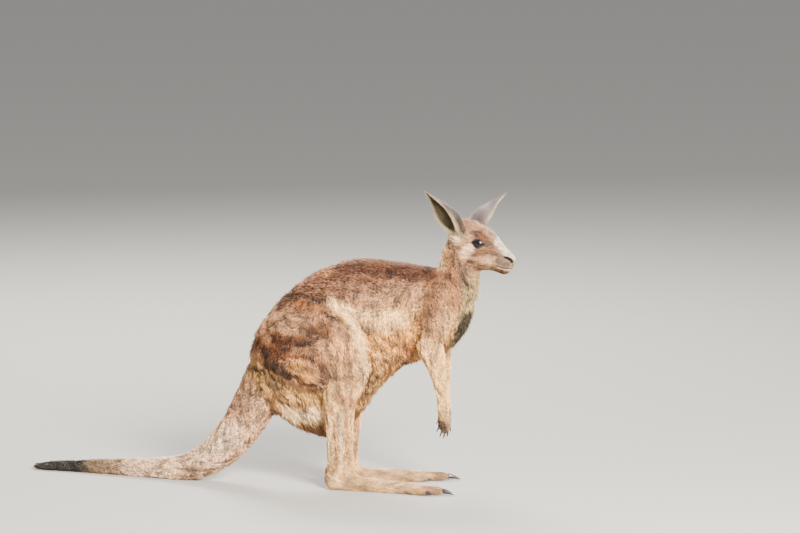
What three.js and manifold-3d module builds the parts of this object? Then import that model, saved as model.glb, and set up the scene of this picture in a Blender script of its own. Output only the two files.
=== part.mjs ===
// A female eastern grey kangaroo at rest, life size, as a still museum model.
//
// Millimetres, +Z up. +X is forward, from the tail to the nose, and +Y is the animal's left. The origin is on the
// floor under the middle of the animal, which stands on both hind feet and on the length of its tail.
//
// Each part of the body is a loft through ribs. A rib is a row of sizes: where its centre is, and how far the body
// reaches from there to its dorsal side, to its ventral side and to each flank. Neighbours meet face to face.

import * as THREE from 'three';
import { mergeVertices } from 'three/addons/utils/BufferGeometryUtils.js';
import Module from 'manifold-3d';

const wasm = await Module();
wasm.setup();

const GAP = 0.3; // between parts that touch
const RIGHT = -1; // the sign of y on the animal's right side
const LEFT = 1;
const FORWARD = 13; // brings the middle of the animal's length over the origin
const LEFT_FOOT_BACK = 14; // the left foot stands this far behind the right one
const LEFT_PAW_BACK = 15; // the left paw hangs this far behind the right one

// ---------------------------------------------------------------- sizes

// Trunk ribs stand upright across the body: x, z of the back, z of the widest place, z of the belly, half width.
const TRUNK = [
  [-54, 306, 288, 268, 8],
  [-49, 328, 287, 236, 36],
  [-38, 356, 288, 208, 58],
  [-18, 390, 294, 185, 79],
  [14, 434, 310, 162, 97],
  [50, 469, 329, 143, 107],
  [90, 497, 345, 125, 112],
  [130, 517, 355, 116, 114],
  [170, 530, 364, 130, 113],
  [205, 536, 375, 174, 110],
  [240, 535, 387, 222, 105],
  [275, 532, 398, 262, 99],
  [310, 528, 407, 290, 93],
  [345, 523, 414, 307, 86],
  [380, 521, 420, 318, 77],
  [412, 514, 427, 332, 66],
  [440, 496, 432, 350, 52],
  [462, 472, 436, 386, 34],
  [473, 452, 438, 420, 16],
  [476, 443, 438, 433, 5],
];

// Ribs of the parts that follow a path of their own: x, y, z, dorsal, ventral, half width.
// The dorsal side is the upper one on the tail, the back of the neck, and the front of a limb.
const TAIL = [
  [-597, 118.5, 8, 3, 3, 3],
  [-589.5, 117.5, 9, 7, 8, 7],
  [-560, 114, 11, 10, 12, 10],
  [-500, 104, 13, 14, 14, 13],
  [-440, 91, 15, 18, 16, 16],
  [-370, 73, 17, 22, 18, 19],
  [-300, 54, 20, 25, 21, 23],
  [-240, 37, 26, 28, 27, 27],
  [-190, 24, 38, 34, 34, 33],
  [-140, 13, 66, 42, 41, 40],
  [-95, 6, 113, 44, 48, 45],
  [-60, 2, 170, 46, 53, 50],
  [-30, 0, 225, 51, 56, 58],
  [2, 0, 272, 62, 60, 70],
  [38, 0, 318, 76, 60, 84],
];
const TAIL_TIP_RIB = 4.5; // the dark tip ends here, counted along the ribs
const TAIL_MIDDLE_RIB = 7.6;

const NECK = [
  [414, 0, 420, 66, 44, 58],
  [425, 0, 468, 48, 56, 54],
  [436, 0, 508, 43, 52, 48],
  [443, 0, 545, 46, 45, 44],
  [446, 0, 582, 36, 36, 40],
  [446, 0, 604, 20, 22, 28],
];

const THIGH = [
  [-20, 32, 318, 16, 22, 12],
  [-9, 43, 325, 38, 50, 37],
  [12, 55, 335, 64, 80, 56],
  [45, 64, 343, 88, 95, 66],
  [88, 71, 337, 103, 99, 67],
  [133, 77, 324, 106, 93, 61],
  [172, 83, 306, 94, 76, 53],
  [200, 87, 289, 64, 58, 44],
  [218, 88, 278, 36, 39, 32],
  [228, 88, 271, 10, 12, 12],
];

const SHANK = [
  [190, 88, 320, 22, 26, 22],
  [186, 89, 292, 42, 43, 33],
  [179, 90, 257, 48, 44, 36],
  [172, 87, 220, 38, 38, 33],
  [169, 80, 180, 33, 33, 28],
  [167, 70, 130, 31, 31, 24],
  [166, 61, 85, 31, 31, 21],
  [168, 55, 52, 34, 33, 21],
  [171, 52, 34, 38, 36, 22],
];

// The foot lies along its own x from the heel. Its toes are counted as on the animal, from the inner side.
const HEEL = { x: 132, y: 47 };
const TOE_OUT = THREE.MathUtils.degToRad(10.5);
const FOOT = [
  [0, 0, 15, 7, 10, 7],
  [7, 0, 19, 21, 22, 17],
  [28, 0, 19, 26, 22, 21],
  [60, 0, 17, 24, 20, 20],
  [95, 0, 15, 16, 18, 18],
  [140, 0, 14, 15, 17, 18],
  [185, 0, 13, 14, 15, 20],
  [214, 0, 11, 12, 13, 20],
  [230, 0, 10, 7, 11, 14],
];
const TOES = [
  { name: 'second', start: [172, -8, 11], end: [232, -17, 8], radius: [8, 5.5], claw: [9, 3] },
  { name: 'third', start: [190, -5, 12], end: [238, -9.5, 8.5], radius: [8, 5.5], claw: [9, 3] },
  { name: 'fourth', start: [196, 2, 12], end: [288, 3, 10.5], radius: [14.5, 9.5], claw: [27, 7] },
  { name: 'fifth', start: [150, 7, 12], end: [254, 22, 8.5], radius: [10.5, 7], claw: [19, 5] },
];

const UPPER_ARM = [
  [399, 34, 496, 16, 16, 12],
  [398, 46, 478, 36, 32, 25],
  [393, 58, 448, 44, 41, 31],
  [388, 66, 416, 43, 40, 31],
  [385, 72, 388, 38, 34, 28],
  [384, 76, 364, 32, 29, 24.5],
  [385, 78, 346, 22, 21, 19],
];
const FOREARM = [
  [374, 78, 370, 16, 18, 16],
  [379, 79, 352, 28, 31, 24],
  [389, 78, 322, 26, 29, 23],
  [397, 75, 290, 19.5, 20.5, 17.5],
  [403, 70, 255, 14.5, 15.5, 14.5],
  [407, 66, 225, 12.5, 13.5, 12.5],
  [409, 63, 200, 13.5, 14, 13],
  [410, 61.5, 184, 15, 15, 13.5],
];
const PALM = [
  [410, 61.5, 187, 13, 13, 12],
  [411, 61, 178, 15.5, 15, 13],
  [411, 60.5, 167, 15.5, 15, 12.5],
  [411, 60, 158, 12.5, 12.5, 10.5],
  [411, 59.5, 152.5, 7, 7, 5],
];
// Fingers from the thumb, at the front, to the fifth: place across the palm, drop of the root, slant and length.
const FINGERS = [
  { name: 'thumb', across: 12.5, drop: -5, slant: 0.28, length: 11, claw: 10 },
  { name: 'second', across: 7.6, drop: 1, slant: 0.12, length: 15, claw: 12 },
  { name: 'third', across: 0.8, drop: 2, slant: 0.0, length: 17, claw: 13 },
  { name: 'fourth', across: -6.2, drop: 1, slant: -0.1, length: 15, claw: 12 },
  { name: 'fifth', across: -12, drop: -5, slant: -0.25, length: 11, claw: 10 },
];
const FINGER_RADIUS = [5.2, 3.9];

// The head has a frame of its own: u runs from the nape to the nose and v towards the crown.
const HEAD_PLACE = new THREE.Vector3(425, 0, 575);
const HEAD_NOD = THREE.MathUtils.degToRad(15);
const HEAD_TURN = THREE.MathUtils.degToRad(-8);
const HEAD_TURN_X = 446; // the head turns over the neck
// Head ribs: u, v of the crown, v of the widest place, v of the jaw, half width.
const HEAD = [
  [-15, 36, 20, 2, 10],
  [-9, 50, 18, -20, 29],
  [4, 61, 14, -37, 39],
  [22, 66.5, 10, -46, 43.5],
  [42, 65.5, 6, -49, 45],
  [60, 61, 4, -46, 43],
  [78, 56.5, 2, -40.5, 37.5],
  [92, 49.5, -1, -36.5, 31],
  [104, 40, -4, -34.5, 26.5],
  [116, 31.5, -6, -34.5, 24],
  [128, 24.5, -7, -33, 22.5],
  [138, 18.8, -7, -30, 20.5],
  [145, 13.8, -5, -23, 17],
  [149.5, 7.5, -4, -13.5, 10],
  [152, 1.5, -4, -8.5, 4.5],
];
const EYE = { u: 65, v: 25.5, y: 28.5, radius: 15.5 };
const LID = { thickness: 2.2, long: 27, high: 17.5, tilt: THREE.MathUtils.degToRad(8) };
// Soft swellings and hollows of the head, on both sides: u, v and y of the middle, spread and height.
const SWELLS = [
  { name: 'brow', at: [66, 44, 30], spread: 15, height: 4.5 },
  { name: 'orbit', at: [66, 24, 42], spread: 20, height: 5 },
  { name: 'cheek', at: [58, -16, 40], spread: 22, height: 4 },
  { name: 'hollow before the eye', at: [92, 14, 32], spread: 15, height: -3 },
  { name: 'hollow behind the eye', at: [34, 20, 44], spread: 15, height: -2 },
  { name: 'upper lip', at: [133, -9, 20], spread: 13, height: 3 },
  { name: 'lower jaw', at: [112, -31, 18], spread: 17, height: -3.5 },
  { name: 'chin', at: [134, -29, 5], spread: 11, height: 2.5 },
  { name: 'nose pad', at: [149, 9, 5], spread: 9, height: 1.6 },
];
const MOUTH = {
  line: [[156, -11], [150, -12.9], [138, -15.5], [124, -15.6], [110, -13.5]],
  width: 2,
  depth: 3.5,
};
const NOSTRIL = { u: 139, v: 7.8, y: 13.5, size: [10.5, 4.5, 6.5], tilt: THREE.MathUtils.degToRad(-15) };
const PHILTRUM = { u: 150, v: -7, size: [4, 9, 1.1] };

// An ear is a leaf rolled into a cup. The roll's radius and its half opening follow the ear from root to tip.
const EAR_ROLL = [9, 14, 21, 27, 30, 29, 24, 17, 9.5, 3.4];
const EAR_WRAP = [150, 140, 122, 106, 96, 88, 80, 72, 64, 56];
const EAR_THICKNESS = [4.5, 4, 3.6, 3.3, 3, 2.8, 2.6, 2.3, 2, 1.4];
const EARS = {
  right: { root: [456, -24, 603], tip: [370, -76, 703], bulge: [1, -2, -1], open: [-0.75, -0.8, -0.45] },
  left: { root: [445, 21, 602], tip: [534, 98, 682], bulge: [-5, 8, -9], open: [0.85, 0.2, -0.75] },
};

// ---------------------------------------------------------------- finishes

const finish = (color, roughness = 0.95) => new THREE.MeshStandardMaterial({ color, roughness, metalness: 0 });
const COAT = {
  back: finish(0x94735a),
  flank: finish(0xb39473),
  tail: finish(0x9c8674),
  dark: finish(0x3d332f),
  pale: finish(0xc2a888),
  face: finish(0xab9079),
  ear: finish(0x8f837f),
};
const HORN = finish(0x1d1a19, 0.4);
const EYEBALL = finish(0x120c08, 0.08);

// ---------------------------------------------------------------- solids

/** A closed three.js geometry as a solid, whichever way its faces are wound. */
function solid(geometry) {
  const bare = new THREE.BufferGeometry().copy(geometry);
  bare.deleteAttribute('normal');
  bare.deleteAttribute('uv');
  const merged = mergeVertices(bare, 1e-5);
  const vertProperties = new Float32Array(merged.attributes.position.array);
  const whole = Array.from(merged.index.array);
  const triVerts = new Uint32Array(dropSlivers(whole));
  const made = new wasm.Manifold(new wasm.Mesh({ numProp: 3, vertProperties, triVerts }));
  if (made.volume() > 0) return made;
  for (let i = 0; i < triVerts.length; i += 3) [triVerts[i + 1], triVerts[i + 2]] = [triVerts[i + 2], triVerts[i + 1]];
  return new wasm.Manifold(new wasm.Mesh({ numProp: 3, vertProperties, triVerts }));
}

/** Triangles that merging has folded onto an edge or a point are left out. */
function dropSlivers(index) {
  const kept = [];
  for (let i = 0; i < index.length; i += 3) {
    const [a, b, c] = index.slice(i, i + 3);
    if (a !== b && b !== c && c !== a) kept.push(a, b, c);
  }
  return kept;
}

/** The largest closed surface of a solid as a three.js geometry. */
function geometryOf(shape) {
  const largest = shape.decompose().reduce((a, b) => (b.volume() > a.volume() ? b : a));
  const mesh = largest.getMesh();
  const positions = new Float32Array(mesh.numVert * 3);
  for (let i = 0; i < mesh.numVert; i++) {
    positions.set(mesh.vertProperties.subarray(i * mesh.numProp, i * mesh.numProp + 3), i * 3);
  }
  const geometry = new THREE.BufferGeometry();
  geometry.setAttribute('position', new THREE.BufferAttribute(positions, 3));
  geometry.setIndex(new THREE.BufferAttribute(mesh.triVerts, 1));
  geometry.computeVertexNormals();
  return geometry;
}

/** An ellipsoid with its three radii along x, y and z, moved by a matrix. */
function ellipsoid(radii, matrix, sides = 14, rings = 10) {
  const ball = new THREE.SphereGeometry(1, sides, rings).scale(...radii);
  return solid(ball.applyMatrix4(matrix));
}

const at = (x, y, z) => new THREE.Matrix4().makeTranslation(x, y, z);

// ---------------------------------------------------------------- lofts

/** The row of sizes at a place between two rows, by a cubic that passes through every row. */
function rowAt(rows, place) {
  const last = rows.length - 1;
  const i = Math.min(Math.floor(place), last - 1);
  const t = place - i;
  const [a, b, c, d] = [rows[Math.max(i - 1, 0)], rows[i], rows[i + 1], rows[Math.min(i + 2, last)]];
  return b.map((_, k) => {
    const rise = (c[k] - a[k]) / 2;
    const fall = (d[k] - b[k]) / 2;
    const bend = 3 * (c[k] - b[k]) - 2 * rise - fall;
    const turn = 2 * (b[k] - c[k]) + rise + fall;
    return b[k] + t * (rise + t * (bend + t * turn));
  });
}

/** Places from one row number to another, evenly spaced, with both ends. */
function places(from, to, steps) {
  return Array.from({ length: steps + 1 }, (_, i) => from + ((to - from) * i) / steps);
}

/** One closed rib: an egg with its own fullness above and below the widest place. */
function ribPoints({ centre, dorsal, side, above, below, half, fullAbove = 2, fullBelow = 2 }, sides) {
  return Array.from({ length: sides }, (_, k) => {
    const angle = (k / sides) * 2 * Math.PI;
    const up = Math.sin(angle);
    const across = Math.cos(angle);
    const power = 2 / (up >= 0 ? fullAbove : fullBelow);
    const rise = Math.sign(up) * Math.abs(up) ** power * (up >= 0 ? above : below);
    const reach = Math.sign(across) * Math.abs(across) ** power * half;
    return centre.clone().addScaledVector(dorsal, rise).addScaledVector(side, reach);
  });
}

/** A closed skin over a row of rings, each with the same even number of points, with flat ends. */
function skinOver(rings) {
  const count = rings[0].length;
  const index = [];
  const quad = (a, b, c, d) => index.push(a, b, d, a, d, c);
  for (let first = 0; first < (rings.length - 1) * count; first += count) {
    for (let k = 0; k < count; k++) {
      const next = (k + 1) % count;
      quad(first + k, first + next, first + count + k, first + count + next);
    }
  }
  const end = (rings.length - 1) * count;
  for (let k = 0; k < count / 2 - 1; k++) {
    quad(k + 1, k, count - 2 - k, count - 1 - k);
    quad(end + k, end + k + 1, end + count - 1 - k, end + count - 2 - k);
  }
  const positions = new Float32Array(rings.flat().flatMap((point) => point.toArray()));
  const geometry = new THREE.BufferGeometry();
  geometry.setAttribute('position', new THREE.BufferAttribute(positions, 3));
  geometry.setIndex(index);
  return solid(geometry);
}

/** A closed loft through ribs. */
function loft(ribs, sides) {
  return skinOver(ribs.map((rib) => ribPoints(rib, sides)));
}

/** A trunk or head: ribs stand across x, with sizes x, top, widest, bottom, half width. */
function barrel(rows, { sides, steps, grow = 0, fullAbove = 2, fullBelow = 2, shape = (point) => point }) {
  const last = rows.length - 1;
  const ribs = places(0, last, steps).map((place) => {
    const [x, top, widest, bottom, half] = rowAt(rows, place);
    const end = place === 0 ? -grow : place === last ? grow : 0;
    return {
      centre: new THREE.Vector3(x + end, 0, widest),
      dorsal: new THREE.Vector3(0, 0, 1),
      side: new THREE.Vector3(0, 1, 0),
      above: Math.max(top - widest + grow, 1),
      below: Math.max(widest - bottom + grow, 1),
      half: Math.max(half + grow, 1),
      fullAbove,
      fullBelow,
    };
  });
  return skinOver(ribs.map((rib) => ribPoints(rib, sides).map(shape)));
}

/** A tail, neck or limb: ribs stand across the path through their centres. A side of -1 is the right one. */
function limb(rows, { sides, steps, grow = 0, side = LEFT, from = 0, to = rows.length - 1, full = 2 }) {
  const path = (place) => {
    const [x, y, z] = rowAt(rows, place);
    return new THREE.Vector3(x, y * side, z);
  };
  const ribs = places(from, to, steps).map((place) => {
    const [, , , above, below, half] = rowAt(rows, place);
    const ahead = path(Math.min(place + 0.05, rows.length - 1));
    const along = ahead.sub(path(Math.max(place - 0.05, 0))).normalize();
    const flank = new THREE.Vector3(0, 1, 0);
    flank.addScaledVector(along, -flank.dot(along)).normalize();
    const end = place === from ? -grow : place === to ? grow : 0;
    return {
      centre: path(place).addScaledVector(along, end),
      dorsal: along.clone().cross(flank),
      side: flank,
      above: above + grow,
      below: below + grow,
      half: half + grow,
      fullAbove: full,
      fullBelow: full,
    };
  });
  return loft(ribs, sides);
}

/** A round finger or toe between two points, with a domed end. */
function digit(start, end, [thick, thin], { sides = 8, grow = 0 } = {}) {
  const along = end.clone().sub(start);
  const length = along.length();
  along.normalize();
  const flank = new THREE.Vector3(0, 1, 0).cross(along).normalize();
  const dorsal = along.clone().cross(flank);
  const dome = [[0, 1], [0.55, 0.94], [0.8, 1.02], [0.93, 0.8], [1, 0.42]];
  const ribs = dome.map(([share, swell]) => {
    const radius = (thick + (thin - thick) * share) * swell + grow;
    const reach = share === 1 ? length + grow : length * share;
    return { centre: start.clone().addScaledVector(along, reach), dorsal, side: flank, above: radius, below: radius, half: radius };
  });
  return loft(ribs, sides);
}

/** A claw: a cone that bends from its own direction towards another one. */
function claw(root, along, bendTo, length, radius) {
  const shares = [[-0.25, 0.9], [0.2, 1], [0.65, 0.6], [1, 0.12]];
  const ribs = shares.map(([share, width]) => {
    const centre = root.clone().addScaledVector(along, length * share);
    centre.addScaledVector(bendTo, length * 0.28 * Math.max(share, 0) ** 2);
    const flank = new THREE.Vector3().crossVectors(along, bendTo).normalize();
    const dorsal = flank.clone().cross(along);
    return { centre, dorsal, side: flank, above: radius * width, below: radius * width, half: radius * width * 0.8 };
  });
  return loft(ribs, 6);
}

// ---------------------------------------------------------------- trunk, neck and tail

const FLOOR = solid(new THREE.BoxGeometry(2000, 1000, 200).translate(0, 0, -100));
const trunkWith = (grow) => barrel(TRUNK, { sides: 28, steps: 24, grow, fullAbove: 2.1, fullBelow: 1.75 });
const trunk = trunkWith(0);
const trunkRoom = trunkWith(GAP);

function tailLength(from, to, steps) {
  return limb(TAIL, { sides: 16, steps, from, to }).subtract(FLOOR);
}
const cutRib = GAP / 60; // a cut across the tail, counted in ribs
const tail = {
  tail_tip: tailLength(0, TAIL_TIP_RIB - cutRib, 9),
  tail_middle: tailLength(TAIL_TIP_RIB, TAIL_MIDDLE_RIB - cutRib, 7),
  tail_base: tailLength(TAIL_MIDDLE_RIB, TAIL.length - 1, 12).subtract(trunkRoom),
};

// ---------------------------------------------------------------- head

/** From the head's own frame, with u as x and v as z, to the model's. */
const HEAD_FRAME = new THREE.Matrix4()
  .makeTranslation(HEAD_TURN_X, 0, 0)
  .multiply(new THREE.Matrix4().makeRotationZ(HEAD_TURN))
  .multiply(at(HEAD_PLACE.x - HEAD_TURN_X, 0, HEAD_PLACE.z))
  .multiply(new THREE.Matrix4().makeRotationY(HEAD_NOD));

const inHead = (u, v, y, tilt = 0) => at(u, y, v).multiply(new THREE.Matrix4().makeRotationY(-tilt));
const both = (make) => [make(RIGHT), make(LEFT)];

/** A point of the head's skin after the soft swellings and hollows near it. */
function swollen(point) {
  const out = new THREE.Vector3(0, point.y, point.z).normalize();
  const reach = ({ at: [u, v, y], spread, height }) => {
    const distance = point.distanceTo(new THREE.Vector3(u, Math.sign(point.y) * y, v));
    return height * Math.exp(-((distance / spread) ** 2));
  };
  return point.clone().addScaledVector(out, SWELLS.reduce((sum, swell) => sum + reach(swell), 0));
}

function skull(grow) {
  return barrel(HEAD, { sides: 26, steps: 24, grow, fullAbove: 2, fullBelow: 1.9, shape: swollen });
}

/** The lens between the lids, as a prism that runs out from the eye to one side. */
function lidOpening(side) {
  const { long, high, tilt } = LID;
  const bow = (long * long) / (8 * (high / 2)) + high / 4; // radius of an arc with that chord and height
  const half = Math.asin(long / 2 / bow);
  const lens = new THREE.Shape();
  lens.absarc(0, high / 2 - bow, bow, Math.PI / 2 - half, Math.PI / 2 + half);
  lens.absarc(0, bow - high / 2, bow, -Math.PI / 2 - half, -Math.PI / 2 + half);
  const prism = new THREE.ExtrudeGeometry(lens, { depth: 40, bevelEnabled: false, curveSegments: 6 });
  const outwards = new THREE.Matrix4().makeRotationX(side === RIGHT ? Math.PI / 2 : -Math.PI / 2);
  const start = EYE.y * side + side * 2;
  return solid(prism.applyMatrix4(inHead(EYE.u, EYE.v, start, -tilt * side).multiply(outwards)));
}

/** The mouth is a groove round the muzzle: a band across the head, less the head a little way in. */
function mouthGroove() {
  const line = new THREE.SplineCurve(MOUTH.line.map(([u, v]) => new THREE.Vector2(u, v))).getPoints(10);
  const lower = line.map((p) => new THREE.Vector2(p.x, p.y - MOUTH.width / 2));
  const upper = line.map((p) => new THREE.Vector2(p.x, p.y + MOUTH.width / 2)).reverse();
  const band = new THREE.ExtrudeGeometry(new THREE.Shape([...lower, ...upper]), { depth: 80, bevelEnabled: false });
  band.translate(0, 0, -40).rotateX(Math.PI / 2);
  return solid(band).subtract(skull(-MOUTH.depth));
}

/** A ball about the middle of the eye. */
const eyeBall = (grow) => (side) =>
  ellipsoid(Array(3).fill(EYE.radius + grow), inHead(EYE.u, EYE.v, EYE.y * side), 14, 10);
const eyeballs = both(eyeBall(0));

function headSolid() {
  const lids = both(eyeBall(LID.thickness));
  const nostrils = both((side) => {
    const { u, v, y, size: [long, high, deep], tilt } = NOSTRIL;
    return ellipsoid([long, deep, high], inHead(u, v, y * side, tilt), 10, 6);
  });
  const { size: [out, tall, thin] } = PHILTRUM;
  const philtrum = ellipsoid([out, thin, tall], inHead(PHILTRUM.u, PHILTRUM.v, 0), 8, 8);
  const cuts = [...both(eyeBall(GAP)), ...both(lidOpening), ...nostrils, philtrum, mouthGroove()];
  return wasm.Manifold.union([skull(0), ...lids]).subtract(wasm.Manifold.union(cuts));
}

const toModel = (shape) => shape.transform(HEAD_FRAME.elements);
const head = toModel(headSolid());
const headRoom = toModel(skull(GAP));
const neckWith = (grow) => limb(NECK, { sides: 22, steps: 9, full: 2.1, grow });
const neckRoom = neckWith(GAP);
const neck = neckWith(0).subtract(trunkRoom).subtract(headRoom);

// ---------------------------------------------------------------- ears

/** The value of a list of sizes at a share of its length. */
function sizeAt(list, share) {
  return rowAt(list.map((value) => [value]), share * (list.length - 1))[0];
}

function ear({ root, tip, bulge, open }) {
  const [start, end] = [new THREE.Vector3(...root), new THREE.Vector3(...tip)];
  const middle = start.clone().lerp(end, 0.5).add(new THREE.Vector3(...bulge));
  const path = new THREE.QuadraticBezierCurve3(start, middle, end);
  const [rings, arc] = [12, 7];
  const sections = places(0, 1, rings).map((share) => {
    const along = path.getTangent(share);
    const opening = new THREE.Vector3(...open);
    opening.addScaledVector(along, -opening.dot(along)).normalize();
    const across = along.clone().cross(opening);
    const centre = path.getPoint(share);
    const outer = sizeAt(EAR_ROLL, share);
    const inner = outer - sizeAt(EAR_THICKNESS, share);
    const wrap = THREE.MathUtils.degToRad(sizeAt(EAR_WRAP, share));
    const onRoll = (radius, angle) => centre.clone()
      .addScaledVector(across, radius * Math.sin(angle))
      .addScaledVector(opening, outer * 0.35 - radius * Math.cos(angle));
    const angles = places(-wrap, wrap, arc);
    return [...angles.map((a) => onRoll(outer, a)), ...angles.reverse().map((a) => onRoll(Math.max(inner, 0.6), a))];
  });
  return skinOver(sections).subtract(headRoom);
}

// ---------------------------------------------------------------- limbs

/** The hind leg of one side, with its foot and claws. */
function hindLeg(side) {
  const name = side === RIGHT ? 'right' : 'left';
  const back = side === LEFT ? LEFT_FOOT_BACK : 0;
  const shankRows = SHANK.map(([x, ...rest], i) => [x - back * (i / (SHANK.length - 1)) ** 3, ...rest]);
  const thigh = (grow) => limb(THIGH, { sides: 20, steps: 12, side, grow });
  const shank = (grow) => limb(shankRows, { sides: 16, steps: 11, side, grow });
  const footFrame = at(HEEL.x - back, HEEL.y * side, 0).multiply(new THREE.Matrix4().makeRotationZ(TOE_OUT * side));
  const onFoot = ([x, y, z]) => new THREE.Vector3(x, y * side, z).applyMatrix4(footFrame);
  const toes = TOES.map(({ start, end, radius }) => digit(onFoot(start), onFoot(end), radius));
  const toeRoom = TOES.map(({ start, end, radius }) => digit(onFoot(start), onFoot(end), radius, { grow: GAP }));
  const instep = limb(FOOT, { sides: 14, steps: 12, full: 2.5 }).transform(footFrame.elements);
  const foot = wasm.Manifold.union([instep, ...toes]).subtract(FLOOR).subtract(shank(GAP));
  const parts = {
    [`thigh_${name}`]: [thigh(0).subtract(trunkRoom), COAT.back],
    [`shank_${name}`]: [shank(0).subtract(thigh(GAP)).subtract(trunkRoom), COAT.pale],
    [`foot_${name}`]: [foot, COAT.pale],
  };
  const down = new THREE.Vector3(0, 0, -1);
  TOES.forEach(({ name: toe, start, end, claw: [length, radius] }) => {
    const along = onFoot(end).sub(onFoot(start)).setZ(0).normalize();
    const root = onFoot(end).addScaledVector(along, -2);
    const horn = claw(root, along, down, length + 3, radius).subtract(wasm.Manifold.union(toeRoom)).subtract(FLOOR);
    parts[`toe_claw_${toe}_${name}`] = [horn, HORN];
  });
  return parts;
}

/** The foreleg of one side, hanging, with its paw and claws. */
function foreleg(side) {
  const name = side === RIGHT ? 'right' : 'left';
  const upperArm = (grow) => limb(UPPER_ARM, { sides: 16, steps: 8, side, grow });
  const back = side === LEFT ? LEFT_PAW_BACK : 0;
  const forearmRows = FOREARM.map(([x, ...rest], i) => [x - (back * i) / (FOREARM.length - 1), ...rest]);
  const palmRows = PALM.map(([x, ...rest]) => [x - back, ...rest]);
  const forearm = (grow) => limb(forearmRows, { sides: 14, steps: 10, side, grow });
  const [x, y, z] = palmRows.at(-1);
  const fingerLine = ({ across, drop, slant, length }) => {
    const start = new THREE.Vector3(x + across * 0.75, (y - Math.abs(across) * 0.12) * side, z + 10 - drop);
    const along = new THREE.Vector3(Math.sin(slant), -0.06 * side, -Math.cos(slant)).normalize();
    return { start, along, end: start.clone().addScaledVector(along, length + 6) };
  };
  const fingers = FINGERS.map((finger) => {
    const { start, end } = fingerLine(finger);
    const made = (grow) => digit(start, end, FINGER_RADIUS, { sides: 6, grow });
    return { solid: made(0), room: made(GAP) };
  });
  const palm = limb(palmRows, { sides: 12, steps: 5, side });
  const paw = wasm.Manifold.union([palm, ...fingers.map((f) => f.solid)]).subtract(forearm(GAP));
  const parts = {
    [`upper_arm_${name}`]: [upperArm(0).subtract(trunkRoom).subtract(neckRoom), COAT.back],
    [`forearm_${name}`]: [forearm(0).subtract(upperArm(GAP)).subtract(trunkRoom), COAT.pale],
    [`paw_${name}`]: [paw, COAT.pale],
  };
  const backwards = new THREE.Vector3(-1, 0, 0);
  const fingerRoom = wasm.Manifold.union(fingers.map((f) => f.room));
  FINGERS.forEach((finger) => {
    const { along, end } = fingerLine(finger);
    const horn = claw(end.clone().addScaledVector(along, -2), along, backwards, finger.claw + 3, 2.6);
    parts[`finger_claw_${finger.name}_${name}`] = [horn.subtract(fingerRoom), HORN];
  });
  return parts;
}

// ---------------------------------------------------------------- the animal

const sides = { right: RIGHT, left: LEFT };
const parts = {
  trunk: [trunk, COAT.flank],
  neck: [neck, COAT.face],
  head: [head, COAT.face],
  tail_base: [tail.tail_base, COAT.tail],
  tail_middle: [tail.tail_middle, COAT.tail],
  tail_tip: [tail.tail_tip, COAT.dark],
};
Object.entries(sides).forEach(([name, side], i) => {
  parts[`eye_${name}`] = [toModel(eyeballs[i]), EYEBALL];
  parts[`ear_${name}`] = [ear(EARS[name]), COAT.ear];
  Object.assign(parts, hindLeg(side), foreleg(side));
});

const kangaroo = new THREE.Group();
for (const [name, [shape, material]] of Object.entries(parts)) {
  const mesh = new THREE.Mesh(geometryOf(shape).translate(FORWARD, 0, 0), material);
  mesh.name = name;
  kangaroo.add(mesh);
}

export default kangaroo;
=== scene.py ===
"""A life-size eastern grey kangaroo: its skin, coat, eyes and claws, on the frame of solids.

Lengths are in millimetres in the maker's frame until a mesh is written, which is in metres. +X runs from
the tail to the nose, +Y to the animal's left and +Z up. Head lengths are u (nape to nose), y (left) and
v (to the crown). Colours are 8-bit display colours where they are named, and linear light once mixed.
"""

import logging
import math
from contextlib import contextmanager
from dataclasses import dataclass, field, replace
from enum import Enum
from typing import Iterator, Sequence

import bmesh
import bpy
import numpy as np
from bmesh.types import BMesh
from bpy.types import Material, Mesh, Node, Object
from mathutils import Matrix, Vector
from mathutils.bvhtree import BVHTree
from mathutils.kdtree import KDTree
from numpy.random import Generator


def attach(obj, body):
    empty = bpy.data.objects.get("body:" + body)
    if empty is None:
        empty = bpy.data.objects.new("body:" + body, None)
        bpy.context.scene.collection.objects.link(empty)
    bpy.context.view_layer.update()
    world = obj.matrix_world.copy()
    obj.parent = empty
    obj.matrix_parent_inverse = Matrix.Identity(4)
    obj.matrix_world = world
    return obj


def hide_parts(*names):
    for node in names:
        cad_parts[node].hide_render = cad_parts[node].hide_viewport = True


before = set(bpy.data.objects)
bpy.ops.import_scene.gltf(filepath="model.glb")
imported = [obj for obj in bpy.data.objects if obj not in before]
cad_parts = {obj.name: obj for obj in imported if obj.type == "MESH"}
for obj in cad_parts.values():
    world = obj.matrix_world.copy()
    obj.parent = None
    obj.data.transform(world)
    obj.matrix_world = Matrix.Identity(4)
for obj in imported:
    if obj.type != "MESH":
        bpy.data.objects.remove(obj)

logging.basicConfig(level=logging.INFO, format="%(levelname)s %(message)s")
log = logging.getLogger("kangaroo")

Array = np.ndarray
Colour = tuple[float, float, float]
Place = tuple[float, float, float]
Pair = tuple[float, float]
Line = tuple[Pair, ...]

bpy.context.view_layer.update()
METRE = 1000.0
FORWARD = np.array([13.0, 0.0, 0.0])  # the maker's frame is moved this far forward in the model
MAP_NAME = "OFBake"
SAME_POINT = 2e-6  # corners of a solid that are nearer than this, in metres, are one


class Part(Enum):
    """The parts of the body that carry a coat of their own."""

    TRUNK = 0
    NECK = 1
    HEAD = 2
    TAIL_BASE = 3
    TAIL_MIDDLE = 4
    TAIL_TIP = 5
    THIGH = 6
    SHANK = 7
    FOOT = 8
    UPPER_ARM = 9
    FOREARM = 10
    PAW = 11
    EAR = 12


# ---- numbers


def smooth(low: float, high: float, value: Array) -> Array:
    """A soft step from 0 at low to 1 at high, which is under low for a falling step."""
    t = np.clip((value - low) / (high - low), 0.0, 1.0)
    return t * t * (3.0 - 2.0 * t)


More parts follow.
